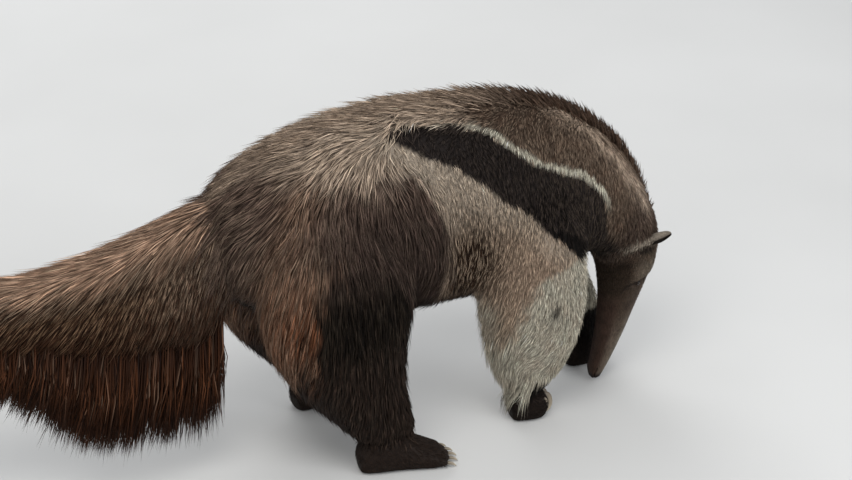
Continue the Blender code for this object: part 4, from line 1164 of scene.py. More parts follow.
def hindleg_look(points, normals, t, angle):
    """Brown behind and rusty in its middle, nearly black in front and below."""
    x, z = points[:, 0], points[:, 2]
    border = -0.520 + 0.35 * np.clip(z - 0.36, 0, 0.3)
    soft = 0.025 + 0.055 * ease(z, 0.36, 0.50)
    rear = ease(border - x + 0.020 * drift(points, 0.05, 16), -soft, soft + 0.010)
    front = mixed(UMBER_HAIR, THIGH_FRONT_HAIR, ease(0.50 - z, 0.0, 0.14))
    brown = mixed(THIGH_HAIR, HIP_HAIR, ease(z, 0.44, 0.54))
    rust = hump(np.hypot(x + 0.530, (z - 0.335) / 1.2), 0.062)
    brown = mixed(brown, RUST_HAIR, 0.9 * rust)
    rear = np.maximum(rear, 0.8 * hip_band(x, z))
    colour = mixed(front, brown, rear)
    low = ease(0.32 - 0.06 * rear - z + 0.015 * drift(points, 0.05, 17), 0.0, 0.10)
    colour = mixed(colour, mixed(DARK_HAIR, RUST_HAIR, 0.20 * rear), low)
    return colour, 0.05 + 0.30 * rear * (1 - low)


def tail_look(points, normals, t, angle):
    """Pale brown along the top, grizzled down the sides, and reddish dark below."""
    outline = np.array(TAIL)
    here = np.interp(-points[:, 0], -outline[:, 0], np.arange(len(outline)))
    rings = smooth(outline, here)
    share = (points[:, 2] - rings[:, 3]) / (rings[:, 1] - rings[:, 3])
    share = share + 0.03 * drift(points, 0.05, 18)
    crown = ease(share, 0.83, 0.94)
    near_root = 1 - ease(here, 1.3, 3.4)
    browner = patchy(points, 0.05 + 0.25 * near_root, 0.15, 0.04, 19)
    top = mixed(TAIL_TOP_HAIR, BROWN_HAIR, browner)
    lower = 1 - ease(share, 0.44, 0.66)
    darker = patchy(points, 0.02 + 0.46 * (1 - near_root) + 0.45 * lower, 0.20, 0.05, 20)
    side = mixed(BROWN_HAIR, TAIL_SIDE_HAIR, darker)
    colour = mixed(side, top, crown)
    low = 1 - ease(share + 0.05 * drift(points, 0.022, 42), 0.22, 0.44)
    return mixed(colour, TAIL_LOW_HAIR, low), (0.56 - 0.20 * crown - 0.26 * lower) * (1 - low)


# The lie of the coat


class Comb:
    """The lie of the coat between places where it is known, each an x, a z and a bearing.

    A bearing is in degrees as the right side shows it: 0 forward, 180 back and 270 down.
    """

    def __init__(self, marks, reach=0.03):
        self.x = np.array([mark[0] for mark in marks])
        self.z = np.array([mark[1] for mark in marks])
        bearings = np.radians([mark[2] for mark in marks])
        self.ways = np.stack([np.cos(bearings), np.zeros(len(marks)), np.sin(bearings)], 1)
        self.reach = reach

    def ways_at(self, x, z):
        far = (x[:, None] - self.x) ** 2 + (z[:, None] - self.z) ** 2
        return unit((1 / (far + self.reach**2) ** 2) @ self.ways)


def trunk_flow(points, normals):
    """Back along the spine, down the sides, and fanning out below the hip."""
    way = Comb(TRUNK_COMB).ways_at(points[:, 0], points[:, 2])
    below = np.clip(-normals[:, 2:3], 0, 1)
    tangled = 0.14 + 0.20 * ease(normals[:, 2], 0.2, 0.7) * ease(-points[:, 0], 0.06, 0.16)
    sway = 0.09 * drift(points, 0.09, 30) + tangled * drift(points, 0.024, 35)
    lift = DOWN * (0.8 * tangled * drift(points, 0.019, 39))[:, None]
    return into_surface(way + BACK * 0.25 * below + FORWARD * sway[:, None] + lift, normals)


def foreleg_flow(side):
    """Down and back, and round behind the wrist."""
    comb = Comb(FORELEG_COMB, 0.02)

    def flow(points, normals):
        x = points[:, 0] - leg_shift(points[:, 2], side)
        sway = 0.14 * drift(points, 0.035, 32)[:, None]
        return into_surface(comb.ways_at(x, points[:, 2]) + BACK * sway, normals)

    return flow


def hindleg_flow(points, normals):
    sway = 0.10 * drift(points, 0.07, 33) + 0.08 * drift(points, 0.02, 36)
    rear = ease(-points[:, 0:1], 0.40, 0.56)
    return into_surface(DOWN + BACK * (0.04 + 0.20 * rear + sway[:, None]), normals)


def tail_flow(points, normals):
    """Back along the tail's top, more and more down its sides, steeply near its root."""
    side = 1 - np.clip(normals[:, 2:3], 0, 1)
    far = ease(-points[:, 0:1], 0.66, 1.00)
    down = 0.04 + side * (1.6 - 1.0 * far)
    sway = 0.08 * drift(points, 0.06, 34) + 0.10 * drift(points, 0.020, 37)
    return into_surface(BACK * (1.0 - 0.25 * side) + DOWN * (down + sway[:, None]), normals)


def head_flow(points, normals):
    return into_surface(DOWN * 0.8 + BACK * 0.35, normals)


def foot_flow(points, normals):
    return into_surface(DOWN * 0.8 + FORWARD * 0.7, normals)


# The pieces of the model


class Model:
    """The pieces, each moved from where it was designed into the frame."""

    def __init__(self, shift):
        self.move = Matrix.Translation(shift)

    def add(self, name, mesh, slot, material, *replaced):
        """A mesh as a piece, in place of some of the frame's nodes."""
        mesh.transform(self.move)
        mesh.materials.append(material)
        obj = linked(name, mesh)
        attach(obj, "root")
        if replaced:
            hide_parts(*replaced)


def paint(mesh, colours):
    """Colours of the points, for the materials."""
    rgba = np.ones((len(colours), 4))
    rgba[:, :3] = np.clip(colours, 0.002, 0.9)
    mesh.color_attributes.new("coat", "FLOAT_COLOR", "POINT").data.foreach_set("color", rgba.ravel())


def mark_strands(mesh, places):
    """Places across and along a strand at the points, for the materials."""
    mesh.attributes.new("strand", "FLOAT_VECTOR", "POINT").data.foreach_set("vector", places.ravel())


# Tufts

Roots = namedtuple("Roots", "t angle points normals triangles")
# Blades of hair: their centre lines, the ways they face, widths, colours and bake places
Tufts = namedtuple("Tufts", "centres faces widths colours uv")


def scatter(form, count, start, end, draw, density):
    """Places t and angles round a form, spread evenly over its surface or by a density."""
    rows, columns = 220, 120
    t_edge = np.linspace(start, end, rows + 1)
    a_edge = np.linspace(0, 2 * math.pi, columns + 1)
    corner = form.at(t_edge[:, None], a_edge[None, :])
    step_t = corner[1:, :-1] - corner[:-1, :-1]
    step_a = corner[:-1, 1:] - corner[:-1, :-1]
    area = np.linalg.norm(np.cross(step_t, step_a), axis=2)
    if density is not None:
        middle_t = (t_edge[1:] + t_edge[:-1]) / 2
        middle_a = (a_edge[1:] + a_edge[:-1]) / 2
        area = area * density(*np.meshgrid(middle_t, middle_a, indexing="ij"))
    total = np.cumsum(area.ravel())
    marks = (np.arange(count) + draw.random(count)) / count * total[-1]
    cell = np.searchsorted(total, marks)
    row, column = np.divmod(np.minimum(cell, rows * columns - 1), columns)
    t = t_edge[row] + draw.random(count) * (end - start) / rows
    angle = a_edge[column] + draw.random(count) * 2 * math.pi / columns
    return t, angle


def combed(skin, roots, flow, length, rise, cling):
    """Centre lines that follow a flow over the skin, a little higher at each step.

    Where cling is 1 a tuft keeps to the skin; where it is 0 it may hang free of it.
    """
    point, normal = roots.points, roots.normals
    centres = [point - normal * ROOT_DEPTH]
    faces = [normal]
    for before, share in zip(SHORT, SHORT[1:]):
        target = point + flow(point, normal) * (length * (share - before))[:, None]
        places, normal, _ = skin.nearest(target)
        height = ((target - places) * normal).sum(1)
        least = SKIN_GAP + rise * length * share
        free = np.maximum(height, least)
        height = least * cling + free * (1 - cling)
        loose = (height > free - 1e-9) & (free > least)
        point = np.where(loose[:, None], target, places + normal * height[:, None])
        centres.append(point)
        faces.append(normal)
    return np.stack(centres, 1), np.stack(faces, 1)


def gathered(centres, steps, every, pull, draw):
    """The centre lines drawn together into locks round every so many of them."""
    count = len(centres)
    leaders = draw.permutation(count)[: max(count // every, 1)]
    tree = tree_of(centres[leaders, 1])
    chosen = np.array([tree.find(point)[1] for point in centres[:, 1].tolist()])
    target = centres[leaders[chosen]]
    strength = pull * draw.uniform(0.5, 1.0, count)
    moved = centres.copy()
    for k, share in enumerate(steps):
        offset = target[:, k] - centres[:, k]
        near = hump(np.linalg.norm(offset, axis=1), LOCK_REACH)
        moved[:, k] += offset * (strength * near * share**1.3)[:, None]
    return moved


def wavered(centres, steps, waver):
    """The centre lines, each moved more and more towards its tip."""
    return centres + waver[:, None] * np.square(steps)[None, :, None]


def banded(colour, ticks, draw, spread, dark_root):
    """Colours along each tuft: dark at the root, and pale at the tip of some, darker in others."""
    count = len(colour)
    colour = colour * np.exp(draw.normal(0, spread, count))[:, None]
    ticked = (draw.random(count) < 0.4)[:, None]
    ticks = np.broadcast_to(ticks, count)
    tip = np.where(ticked, mixed(colour, TICK_HAIR, ticks), colour * (1 - 0.5 * ticks)[:, None])
    middle = np.where(ticked, mixed(colour, TICK_HAIR, 0.55 * ticks), tip)
    return np.stack([middle * (1 - dark_root), middle, tip], 1)


def tuft_faces(rings):
    """The triangles of one blade: three points in each ring, and one at its tip."""
    faces = [(0, 1, 2)]
    for k in range(rings - 1):
        for j in range(3):
            a, b = 3 * k + j, 3 * k + (j + 1) % 3
            faces += [(a, b + 3, b), (a, a + 3, b + 3)]
    tip = 3 * rings
    faces += [(tip - 3 + j, tip, tip - 3 + (j + 1) % 3) for j in range(3)]
    return np.array(faces)


def tuft_arrays(tufts, steps, draw):
    """The blades' points, triangles, colours, strand places and bake places."""
    count = len(tufts.centres)
    rings = len(steps) - 1
    profile = np.interp(steps[:-1], TUFT_PLACES, TUFT_WIDTHS)
    roll = draw.normal(0, 0.45, count)[:, None]
    rows = []
    for k in range(rings):
        here = tufts.centres[:, k]
        way = unit(tufts.centres[:, k + 1] - tufts.centres[:, max(k - 1, 0)])
        side = unit(np.cross(way, tufts.faces[:, k]))
        over = np.cross(side, way)
        half = (tufts.widths * profile[k] / 2)[:, None]
        across = (side * np.cos(roll) + over * np.sin(roll)) * half
        up = (over * np.cos(roll) - side * np.sin(roll)) * half * TUFT_THICKNESS
        rows += [here + across - up, here + up, here - across - up]
    rows.append(tufts.centres[:, -1])
    points = np.stack(rows, 1)
    first = np.arange(count)[:, None, None] * (3 * rings + 1)
    triangles = (first + tuft_faces(rings)[None]).reshape(-1, 3)
    along = np.append(np.repeat(steps[:-1], 3), 1.0)
    across = np.array([0.0, 0.5, 1.0] * rings + [0.5])
    bands = 2 * along
    low_band = np.minimum(bands.astype(int), 1)
    colours = mixed(tufts.colours[:, low_band], tufts.colours[:, low_band + 1], bands - low_band)
    seeds = draw.uniform(0, 60, (count, 1))
    strand = np.stack(np.broadcast_arrays(across + seeds, along[None], seeds * 0.37), 2)
    uv = tufts.uv[:, None] + np.stack([across - 0.5, along - 0.5], 1) * 0.003
    return [values.reshape(-1, values.shape[-1]) for values in (points, triangles, colours, strand, uv)]


def mesh_from_arrays(name, points, triangles):
    mesh = bpy.data.meshes.new(name)
    mesh.vertices.add(len(points))
    mesh.vertices.foreach_set("co", points.ravel())
    mesh.loops.add(triangles.size)
    mesh.loops.foreach_set("vertex_index", triangles.ravel().astype(np.int32))
    mesh.polygons.add(len(triangles))
    mesh.polygons.foreach_set("loop_start", np.arange(0, triangles.size, 3, dtype=np.int32))
    mesh.update(calc_edges=True)
    mesh.shade_smooth()
    return mesh


class Coat:
    """What every tuft is made with: the model, the skin, the forms and one series of draws."""

    def __init__(self, model, skin, forms):
        self.model = model
        self.skin = skin
        self.forms = forms
        self.draw = np.random.default_rng(SEED)
        self.long_hair = hair_material("hair_long", 0.60)
        self.short_hair = hair_material("hair_short", 0.65)

    def roots(self, form, count, start, end, density=None, reach=0.011):
        """Those of the places scattered over a form that lie on the skin."""
        t, angle = scatter(form, count, start, end, self.draw, density)
        points = form.at(t, angle)
        places, normals, triangles = self.skin.nearest(points)
        kept = gap(points, places) < reach
        return Roots(*(values[kept] for values in (t, angle, places, normals, triangles)))

    def tufts(self, roots, centres, faces, widths, colours):
        uv = self.skin.uv_at(roots.points, roots.triangles)
        return Tufts(centres, faces, widths, colours, uv)

    def grown(self, roots, flow, look, length, width, rise, cling=1.0, every=8, pull=0.5,
              spread=0.25, dark_root=0.6):
        """Tufts from roots on the skin: combed by a flow, then gathered into locks."""
        draw = self.draw
        count = len(roots.t)
        length = length * draw.uniform(0.72, 1.22, count)
        rise = rise * draw.uniform(0.5, 1.5, count)
        centres, faces = combed(self.skin, roots, flow, length, rise, cling)
        centres = gathered(centres, SHORT, every, pull, draw)
        waver = draw.normal(0, 0.035, (count, 3)) * length[:, None]
        centres = raised(wavered(centres, SHORT, waver), FLOOR_GAP)
        seen = centres[:, 1] * 0.6 + centres[:, 2] * 0.4
        colours, ticks = look(seen, faces[:, 1], roots.t, roots.angle)
        colours = banded(colours, ticks, draw, spread, dark_root)
        return self.tufts(roots, centres, faces, width * draw.uniform(0.75, 1.3, count), colours)

    def add(self, name, slot, tufts, material, steps=SHORT):
        """The tufts as joined meshes, split into pieces of at most about PIECE_TRIANGLES triangles.
        The tufts as joined meshes, each of a size that the export takes.
        """
        triangles_each = 3 * 2 * (len(steps) - 2) + 4
        pieces = math.ceil(len(tufts.centres) * triangles_each / PIECE_TRIANGLES)
        order = np.argsort(tufts.centres[:, 0, 0])
        for k, pick in enumerate(np.array_split(order, pieces)):
            some = Tufts(*(values[pick] for values in tufts))
            points, triangles, colours, strand, uv = tuft_arrays(some, steps, self.draw)
            title = name if pieces == 1 else f"{name}_{k + 1}"
            mesh = mesh_from_arrays(title, points, triangles)
            layer = mesh.uv_layers.new(name="OFBake")
            layer.uv.foreach_set("vector", uv[triangles.ravel()].ravel())
            paint(mesh, colours)
            mark_strands(mesh, strand)
            self.model.add(title, mesh, slot, material)


# The coat, part by part


def coat_torso(coat):
    """Long hair on the back, flank and rump, and short dense hair from the shoulder on."""

    def density(t, angle):
        return 1.0 + 1.5 * ease(t, 4.2, 5.4)

    roots = coat.roots(coat.forms["trunk"], 42500, 0.12, 7.9, density)
    x, z, up = roots.points[:, 0], roots.points[:, 2], roots.normals[:, 2]
    side = 1 - np.clip(up, 0, 1)
    over = above_stripe(x, z)
    ahead = ease(x - line_x(z, FLANK_FRONT), -0.015, 0.030)
    on_neck = ease(x, -0.26, -0.08)
    behind = 0.062 + 0.023 * side
    length = np.where(over, behind - (behind - 0.022) * on_neck, behind - (behind - 0.020) * ahead)
    rise = 0.23 - 1.7 * (length - 0.022) + 0.09 * (1 - side) + 0.20 * ahead * ~over
    cling = 1 - 0.9 * ease(-up, -0.1, 0.4)
    tufts = coat.grown(roots, trunk_flow, trunk_look, length, 0.0011 + 0.017 * length, rise, cling,
                       every=7, pull=0.6, spread=0.32, dark_root=0.75)
    coat.add("coat_torso", "body_coat", tufts, coat.long_hair)


def coat_neck(coat):
    roots = coat.roots(coat.forms["trunk"], 25000, 6.9, 12.2)
    length = 0.023 - 0.010 * ease(roots.t, 10.2, 12.0)
    width = 0.0016 - 0.0004 * ease(roots.t, 10.6, 12.0)
    tufts = coat.grown(roots, trunk_flow, trunk_look, length, width, 0.22,
                       every=7, pull=0.45, spread=0.36, dark_root=0.75)
    coat.add("coat_neck", "body_coat", tufts, coat.short_hair)


def coat_head(coat):
    """Short hair that lies along the head towards the snout, thinner to its tip."""
    trunk = coat.forms["trunk"]

    def density(t, angle):
        return 1.0 - 0.97 * ease(t, 13.4, 15.4)

    roots = coat.roots(trunk, 11500, 11.0, 16.5, density, 0.009)
    clear = np.ones(len(roots.t), bool)
    for mirror in MIRRORS.values():
        clear &= gap(roots.points, eye_frame(trunk, mirror)[0]) > 0.0125
    roots = Roots(*(values[clear] for values in roots))
    t = roots.t
    length = 0.0120 - 0.0075 * ease(t, 12.4, 14.5)
    width = 0.0011 - 0.0005 * ease(t, 12.6, 14.5)
    rise = 0.11 - 0.09 * ease(t, 12.6, 14.5)
    tufts = coat.grown(roots, head_flow, head_look, length, width, rise,
                       every=6, pull=0.2, spread=0.22, dark_root=0.25)
    # Painted light: the hair towards the snout is painted paler, making up for the shade on the tufts'
    # backs
    paler = (1 + 0.20 * ease(t, 13.2, 14.4))[:, None, None]
    coat.add("coat_head", "head_coat", tufts._replace(colours=tufts.colours * paler), coat.short_hair)


def coat_tail_top(coat):
    """Hair along the tail's top and sides."""

    def upper(t, angle):
        near_root = 1 - ease(t, 1.4, 3.2)
        return 1.0 - ease(-np.sin(angle), 0.2 + 0.35 * near_root, 0.8 + 0.15 * near_root)

    roots = coat.roots(coat.forms["tail"], 16500, 0.35, TAIL_CORE_END, upper)
    t, below = roots.t, -np.sin(roots.angle)
    over = ease(-below, 0.40, 0.92)
    length = 0.034 + 0.060 * over + 0.01 * ease(t, 1.5, 4.0) + 0.012 * ease(below, 0.0, 0.5)
    edge = ease(below + 0.15 * drift(roots.points, 0.02, 46), -0.35, 0.15)
    length = length + 0.040 * edge * ease(drift(roots.points, 0.014, 47), -0.2, 0.8)
    cling = 0.85 - 0.4 * ease(below, -0.2, 0.5)
    tufts = coat.grown(roots, tail_flow, tail_look, length, 0.0024 + 0.0006 * over,
                       0.20 - 0.09 * over, cling, every=7, pull=0.55, spread=0.38, dark_root=0.70)
    warm = (1 - over) * ease(t, 1.2, 3.0)
    colours = tufts.colours * mixed(WHITE, WARM_TINT, warm)[:, None]
    colours[:, 1:] = mixed(colours[:, 1:], TAIL_LOW_HAIR, 0.6 * edge[:, None])
    coat.add("coat_tail_top", "tail_coat", tufts._replace(colours=colours), coat.long_hair)


def coat_curtain(coat):
    """The hair that hangs straight down from the tail's underside to its lower edge."""

    def lower(t, angle):
        near_root = 1 - ease(t, 1.4, 3.2)
        return ease(-np.sin(angle), 0.45 * near_root, 0.45 + 0.35 * near_root)

    roots = coat.roots(coat.forms["tail"], 14000, 0.75, TAIL_CORE_END, lower)
    t, angle, points, normals, _ = roots
    draw = coat.draw
    count = len(t)
    bottom = smooth(coat.forms["tail_outline"].rings, np.maximum(t, 1.0))[:, 3]
    reach = (0.975 - 0.11 * ease(t, 2.8, 4.6)) - 0.36 * draw.random(count) ** 1.7
    drop = np.maximum(points[:, 2] - bottom, 0.05) * reach
    drop = np.minimum(drop, points[:, 2] - 0.012)
    sweep = (0.08 + 0.055 * t) * drop * draw.uniform(0.5, 1.3, count)
    spread = normals * np.array([0.3, 1.0, 0.0]) * (0.020 * draw.uniform(0.3, 1.2, count))[:, None]
    centres = [points - normals * ROOT_DEPTH]
    for share in SHORT[1:]:
        fall = DOWN * (drop * share)[:, None] + BACK * (sweep * share**1.15)[:, None]
        centre = points + fall + spread * 0.95
        near, outward, _ = coat.skin.nearest(centre)
        low = ((centre - near) * outward).sum(1) < 0.003
        centre[low] = near[low] + outward[low] * 0.004
        centres.append(centre)
    centres = gathered(np.stack(centres, 1), SHORT, 14, 0.75, draw)
    lean = BACK * (0.016 * drift(points, 0.040, 41) + 0.010 * drift(points, 0.017, 43))[:, None]
    centres[:, 1] += 0.5 * lean + draw.normal(0, 0.004, (count, 3))
    centres[:, 2] += lean + draw.normal(0, 0.007, (count, 3))
    centres = raised(centres, 0.006)
    faces = np.repeat(into_surface(normals, DOWN[None])[:, None], len(SHORT), 1)
    base, ticks = tail_look(centres[:, 1] * 0.4 + centres[:, 2] * 0.6, normals, t, angle)
    colours = banded(base, 0.5 * ticks, draw, 0.50, 0.65)
    colours[:, 1] *= 1 - 0.45 * ease(drift(points, 0.03, 44), 0.0, 0.8)[:, None]
    tan_strand = draw.random(count) < 0.07
    colours[tan_strand, 1] = mixed(colours[tan_strand, 1], TAN_HAIR, 0.28)
    tufts = coat.tufts(roots, centres, faces, 0.0036 * draw.uniform(0.7, 1.3, count), colours)
    coat.add("coat_tail_curtain", "tail_coat", tufts, coat.long_hair)


def coat_foreleg(coat, side):
    roots = coat.roots(coat.forms[f"foreleg_{side}"], 12500, 0.4, 8.0)
    t, behind = roots.t, -np.sin(roots.angle)
    wrist = ease(t, 5.8, 7.0) * ease(behind, -0.6, 0.3)
    fringe = np.maximum(ease(behind, 0.3, 0.9) * ease(t, 1.8, 3.4), wrist)
    upper = (1 - ease(t, 3.0, 5.0)) * (1 - fringe)
    length = 0.022 + 0.026 * fringe + 0.018 * wrist - 0.008 * ease(t, 6.0, 8.0) * (1 - fringe)
    length = length - 0.003 * upper
    rise = 0.16 + 0.14 * fringe * (1 - wrist) + 0.24 * upper
    tufts = coat.grown(roots, foreleg_flow(side), foreleg_look(side), length, 0.0015, rise,
                       1 - 0.85 * fringe, every=8, pull=0.4, spread=0.28, dark_root=0.65)
    coat.add(f"coat_foreleg_{side}", "foreleg_coat", tufts, coat.short_hair)


def coat_hindleg(coat, side):
    roots = coat.roots(coat.forms[f"hindleg_{side}"], 11000, 0.3, 8.0)
    rear = ease(-np.sin(roots.angle), 0.1, 0.9)
    length = (0.072 + 0.020 * rear) * (1 - 0.60 * ease(roots.t, 3.5, 8.0))
    tufts = coat.grown(roots, hindleg_flow, hindleg_look, length, 0.0026, 0.11, 1 - 0.75 * rear,
                       every=9, pull=0.6, spread=0.36, dark_root=0.60)
    coat.add(f"coat_hindleg_{side}", "hindleg_coat", tufts, coat.long_hair)


def coat_feet(coat, title, rings, stands):
    """Short dark hair over the hands or the feet, down to the claws."""

    def over(t, angle):
        return np.where(np.sin(angle) > -0.6, 1.0, 0.0)

    for side, stand in stands.items():
        roots = coat.roots(FootForm(rings, stand), 3000, 0.05, len(rings) - 1.1, over, 0.010)
        tufts = coat.grown(roots, foot_flow, foot_look, 0.011, 0.0013, 0.08,
                           every=6, pull=0.3, spread=0.30, dark_root=0.2)
        coat.add(f"coat_{title}_{side}", "foot_skin", tufts, coat.short_hair)


def coat_crest(coat):
    """The mane along the neck and back, which leans towards the tail."""
    trunk = coat.forms["trunk"]

    def density(t, angle):
        return hump(np.degrees(angle) - 90, 8) * (1 + 0.5 * ease(t, 6.0, 8.0))

    roots = coat.roots(trunk, 4000, 1.0, 11.4, density)
    t, angle, points, normals, _ = roots
    draw = coat.draw
    count = len(t)
    lean = -trunk.frame(t, angle)[2]
    on_neck = ease(t, 4.8, 7.0)
    grown = np.minimum(1.0, 0.36 + (11.4 - t) / 2.6)
    length = ((0.058 - 0.016 * on_neck) * grown * draw.uniform(0.7, 1.15, count))[:, None]
    steep = ((0.40 + 0.40 * on_neck) * draw.uniform(0.6, 1.4, count))[:, None]
    rise = unit(lean + normals * steep)
    bend = unit(lean + normals * (steep * 0.35))
    centres = np.stack([
        points - normals * ROOT_DEPTH,
        points + rise * 0.36 * length,
        points + (rise * 0.52 + bend * 0.20) * length,
        points + (rise * 0.55 + bend * 0.52) * length,
    ], 1)
    centres = gathered(centres, LONG, 6, 0.5, draw)
    centres = wavered(centres, LONG, draw.normal(0, 0.0035, (count, 3)))
    faces = np.broadcast_to(AWAY, centres.shape)
    base = mixed(mixed(BACK_HAIR, BROWN_HAIR, 0.50), mixed(BROWN_HAIR, DARK_HAIR, 0.30), on_neck)
    colours = banded(base, 0.40 * (1 - on_neck) + 0.1, draw, 0.40, 0.4)
    colours[:, 2] = mixed(colours[:, 2], DARK_HAIR, 0.85 * on_neck)
    tufts = coat.tufts(roots, centres, faces, 0.0019 * draw.uniform(0.7, 1.3, count), colours)
    coat.add("coat_crest", "body_coat", tufts, coat.long_hair, LONG)


# Materials


class Shading:
    """A new material, and the nodes that its look is made of."""

    def __init__(self, name):
        self.material = bpy.data.materials.new(name)
        self.material.use_nodes = True
        self.tree = self.material.node_tree

    def feed(self, node, inputs):
        """Each input of a node, from another node or as a plain value."""
        for key, value in inputs.items():
            if isinstance(value, bpy.types.NodeSocket):
                self.tree.links.new(value, node.inputs[key])
            else:
                node.inputs[key].default_value = value
        return node

    def node(self, kind, inputs):
        return self.feed(self.tree.nodes.new(kind), inputs)

    def surface(self, inputs):
        """The material, with its surface fed."""
        self.feed(self.tree.nodes["Principled BSDF"], inputs)
        return self.material

    def noise(self, place, scale, detail):
        inputs = {"Vector": place, "Scale": scale, "Detail": detail}
        return self.node("ShaderNodeTexNoise", inputs).outputs["Fac"]

    def ramp(self, value, stops):
        node = self.node("ShaderNodeValToRGB", {"Fac": value})
        elements = node.color_ramp.elements
        while len(elements) < len(stops):
            elements.new(0.5)
        for element, (place, colour) in zip(elements, stops):
            element.position = place
            element.color = (*np.broadcast_to(colour, 3).tolist(), 1.0)
        return node.outputs["Color"]

    def tinted(self, first, second):
        """One colour multiplied by another."""
        node = self.node("ShaderNodeMix", {"Factor": 1.0})
        node.data_type = "RGBA"
        node.blend_type = "MULTIPLY"
        return self.feed(node, {6: first, 7: second}).outputs[2]

    def bump(self, height, strength, distance, **under):
        inputs = {"Height": height, "Strength": strength, "Distance": distance, **under}
        return self.node("ShaderNodeBump", inputs).outputs["Normal"]

    def attribute(self, name, output):
        node = self.node("ShaderNodeAttribute", {})
        node.attribute_name = name
        return node.outputs[output]

    def position(self):
        return self.node("ShaderNodeNewGeometry", {}).outputs["Position"]

    def stretched(self, place, scale):
        return self.node("ShaderNodeMapping", {"Vector": place, "Scale": scale}).outputs["Vector"]

    def lengthwise(self, place):
        """How far along its strand a place is."""
        return self.node("ShaderNodeSeparateXYZ", {"Vector": place}).outputs["Y"]


def hair_material(name, rough):
    """Hair: the painted colour, split into fine strands across each tuft."""
    look = Shading(name)
    colour = look.attribute("coat", "Color")
    strands = look.noise(look.stretched(look.attribute("strand", "Vector"), (5.0, 1.6, 1.0)), 1.6, 2.0)
    shades = look.ramp(strands, [(0.30, 0.62), (0.52, 1.0), (0.72, 1.30)])
    return look.surface({
        "Base Color": look.tinted(colour, shades),
        "Normal": look.bump(strands, 0.4, 0.0006),
        "Roughness": rough,
        "Specular IOR Level": 0.08,
    })


def skin_material():
    """Skin under the coat, and the bare skin of the face: fine hair, pores and creases."""
    look = Shading("skin")
    colour = look.attribute("coat", "Color")
    place = look.position()
    mottle = look.ramp(look.noise(place, 70.0, 4.0), [(0.30, 0.75), (0.70, 1.25)])
    hair = look.noise(look.stretched(place, (1900.0, 1900.0, 230.0)), 0.5, 2.0)
    hair_shades = look.ramp(hair, [(0.35, 0.62), (0.65, 1.35)])
    pores = look.bump(look.noise(place, 900.0, 3.0), 0.30, 0.0004)
    return look.surface({
        "Base Color": look.tinted(look.tinted(colour, mottle), hair_shades),
        "Normal": look.bump(hair, 0.7, 0.0008, Normal=pores),
        "Roughness": 0.62,
        "Specular IOR Level": 0.09,
    })


def claw_material():
    """Horn: streaks along its length, darker at the root, dull where it scrapes the ground."""
    look = Shading("claw_horn")
    place = look.attribute("strand", "Vector")
    streaks = look.noise(look.stretched(place, (9.0, 1.0, 1.0)), 2.2, 4.0)
    horn = look.ramp(look.lengthwise(place), [
        (0.0, (0.050, 0.036, 0.026)),
        (0.35, (0.190, 0.155, 0.110)),
        (0.8, (0.360, 0.310, 0.230)),
        (1.0, (0.240, 0.190, 0.130)),
    ])
    shades = look.ramp(streaks, [(0.32, 0.70), (0.70, 1.22)])
    return look.surface({
        "Base Color": look.tinted(horn, shades),
        "Normal": look.bump(streaks, 0.45, 0.0006),
        "Roughness": look.ramp(streaks, [(0.3, 0.34), (0.7, 0.52)]),
        "Specular IOR Level": 0.45,
    })


def eye_material():
    """A wet dark eye: a brown ring between the pupil and the dark white."""
    look = Shading("eye_wet")
    place = look.attribute("strand", "Vector")
    rings = look.ramp(look.lengthwise(place), [
        (0.0, (0.002, 0.002, 0.002)),
        (0.085, (0.003, 0.002, 0.002)),
        (0.115, (0.018, 0.008, 0.004)),
        (0.19, (0.010, 0.005, 0.003)),
        (0.22, (0.003, 0.002, 0.002)),
        (0.40, (0.010, 0.007, 0.006)),
    ])
    shades = look.ramp(look.noise(place, 30.0, 2.0), [(0.3, 0.8), (0.7, 1.2)])
    return look.surface({
        "Base Color": look.tinted(rings, shades),
        "Roughness": 0.07,
        "Specular IOR Level": 0.22,
        "Coat Weight": 0.10,
        "Coat Roughness": 0.04,
    })


def floor_material():
    look = Shading("pale_floor")
    cloud = look.noise(look.position(), 1.2, 3.0)
    pale = look.ramp(cloud, [(0.3, (0.56, 0.56, 0.55)), (0.7, (0.60, 0.60, 0.59))])
    return look.surface({"Base Color": pale, "Roughness": 0.75})


# The pieces that aren't tufts


def paint_skin(skin, forms):
    """The coat's markings on the skin under it, with the head's painted light and shade, and the face's
    own tones.
    """
    trunk = forms["trunk"]
    parts = [("trunk", SNOUT_END, trunk_look), ("tail", TAIL_CORE_END, tail_look)]
    parts += [(f"foreleg_{side}", LEG_END, foreleg_look(side)) for side in MIRRORS]
    parts += [(f"hindleg_{side}", LEG_END, hindleg_look) for side in MIRRORS]
    samples = []
    labels = []
    for number, (name, end, _) in enumerate(parts):
        t, angle = flat_grid(np.linspace(0, end, 160), np.linspace(0, 2 * math.pi, 72))
        samples.append(forms[name].at(t, angle))
        labels.append(np.stack([np.full(t.size, number), t, angle], 1))
    tree = tree_of(np.concatenate(samples))
    points = skin.points
    nearest = [tree.find(point)[1] for point in points.tolist()]
    part, t, angle = np.concatenate(labels)[nearest].T
    normals = from_mesh(skin.mesh.vertices, "normal", 3)
    colours = np.zeros((len(points), 3))
    for number, (_, _, look) in enumerate(parts):
        mine = part == number
        colours[mine] = look(points[mine], normals[mine], t[mine], angle[mine])[0]
    on_trunk = part == 0
    colours *= (0.50 + 0.45 * on_trunk * ease(t, 12.0, 13.2))[:, None]
    colours = mixed(colours, NOSE_SKIN, on_trunk * ease(t, 18.25, 18.7))
    colours[skin.body_end:skin.feet_end] = mixed(BLACK_HAIR, DARK_HAIR, 0.4)
    for mirror in MIRRORS.values():
        eye, mole = eye_frame(trunk, mirror)[0], head_place(trunk, MOLE, mirror)[0]
        colours = mixed(colours, EYELID_SKIN, 0.8 * hump(gap(points, eye), 0.011))
        colours = mixed(colours, MOLE_SKIN, 0.8 * hump(gap(points, mole), 0.0026))
    paint(skin.mesh, colours)


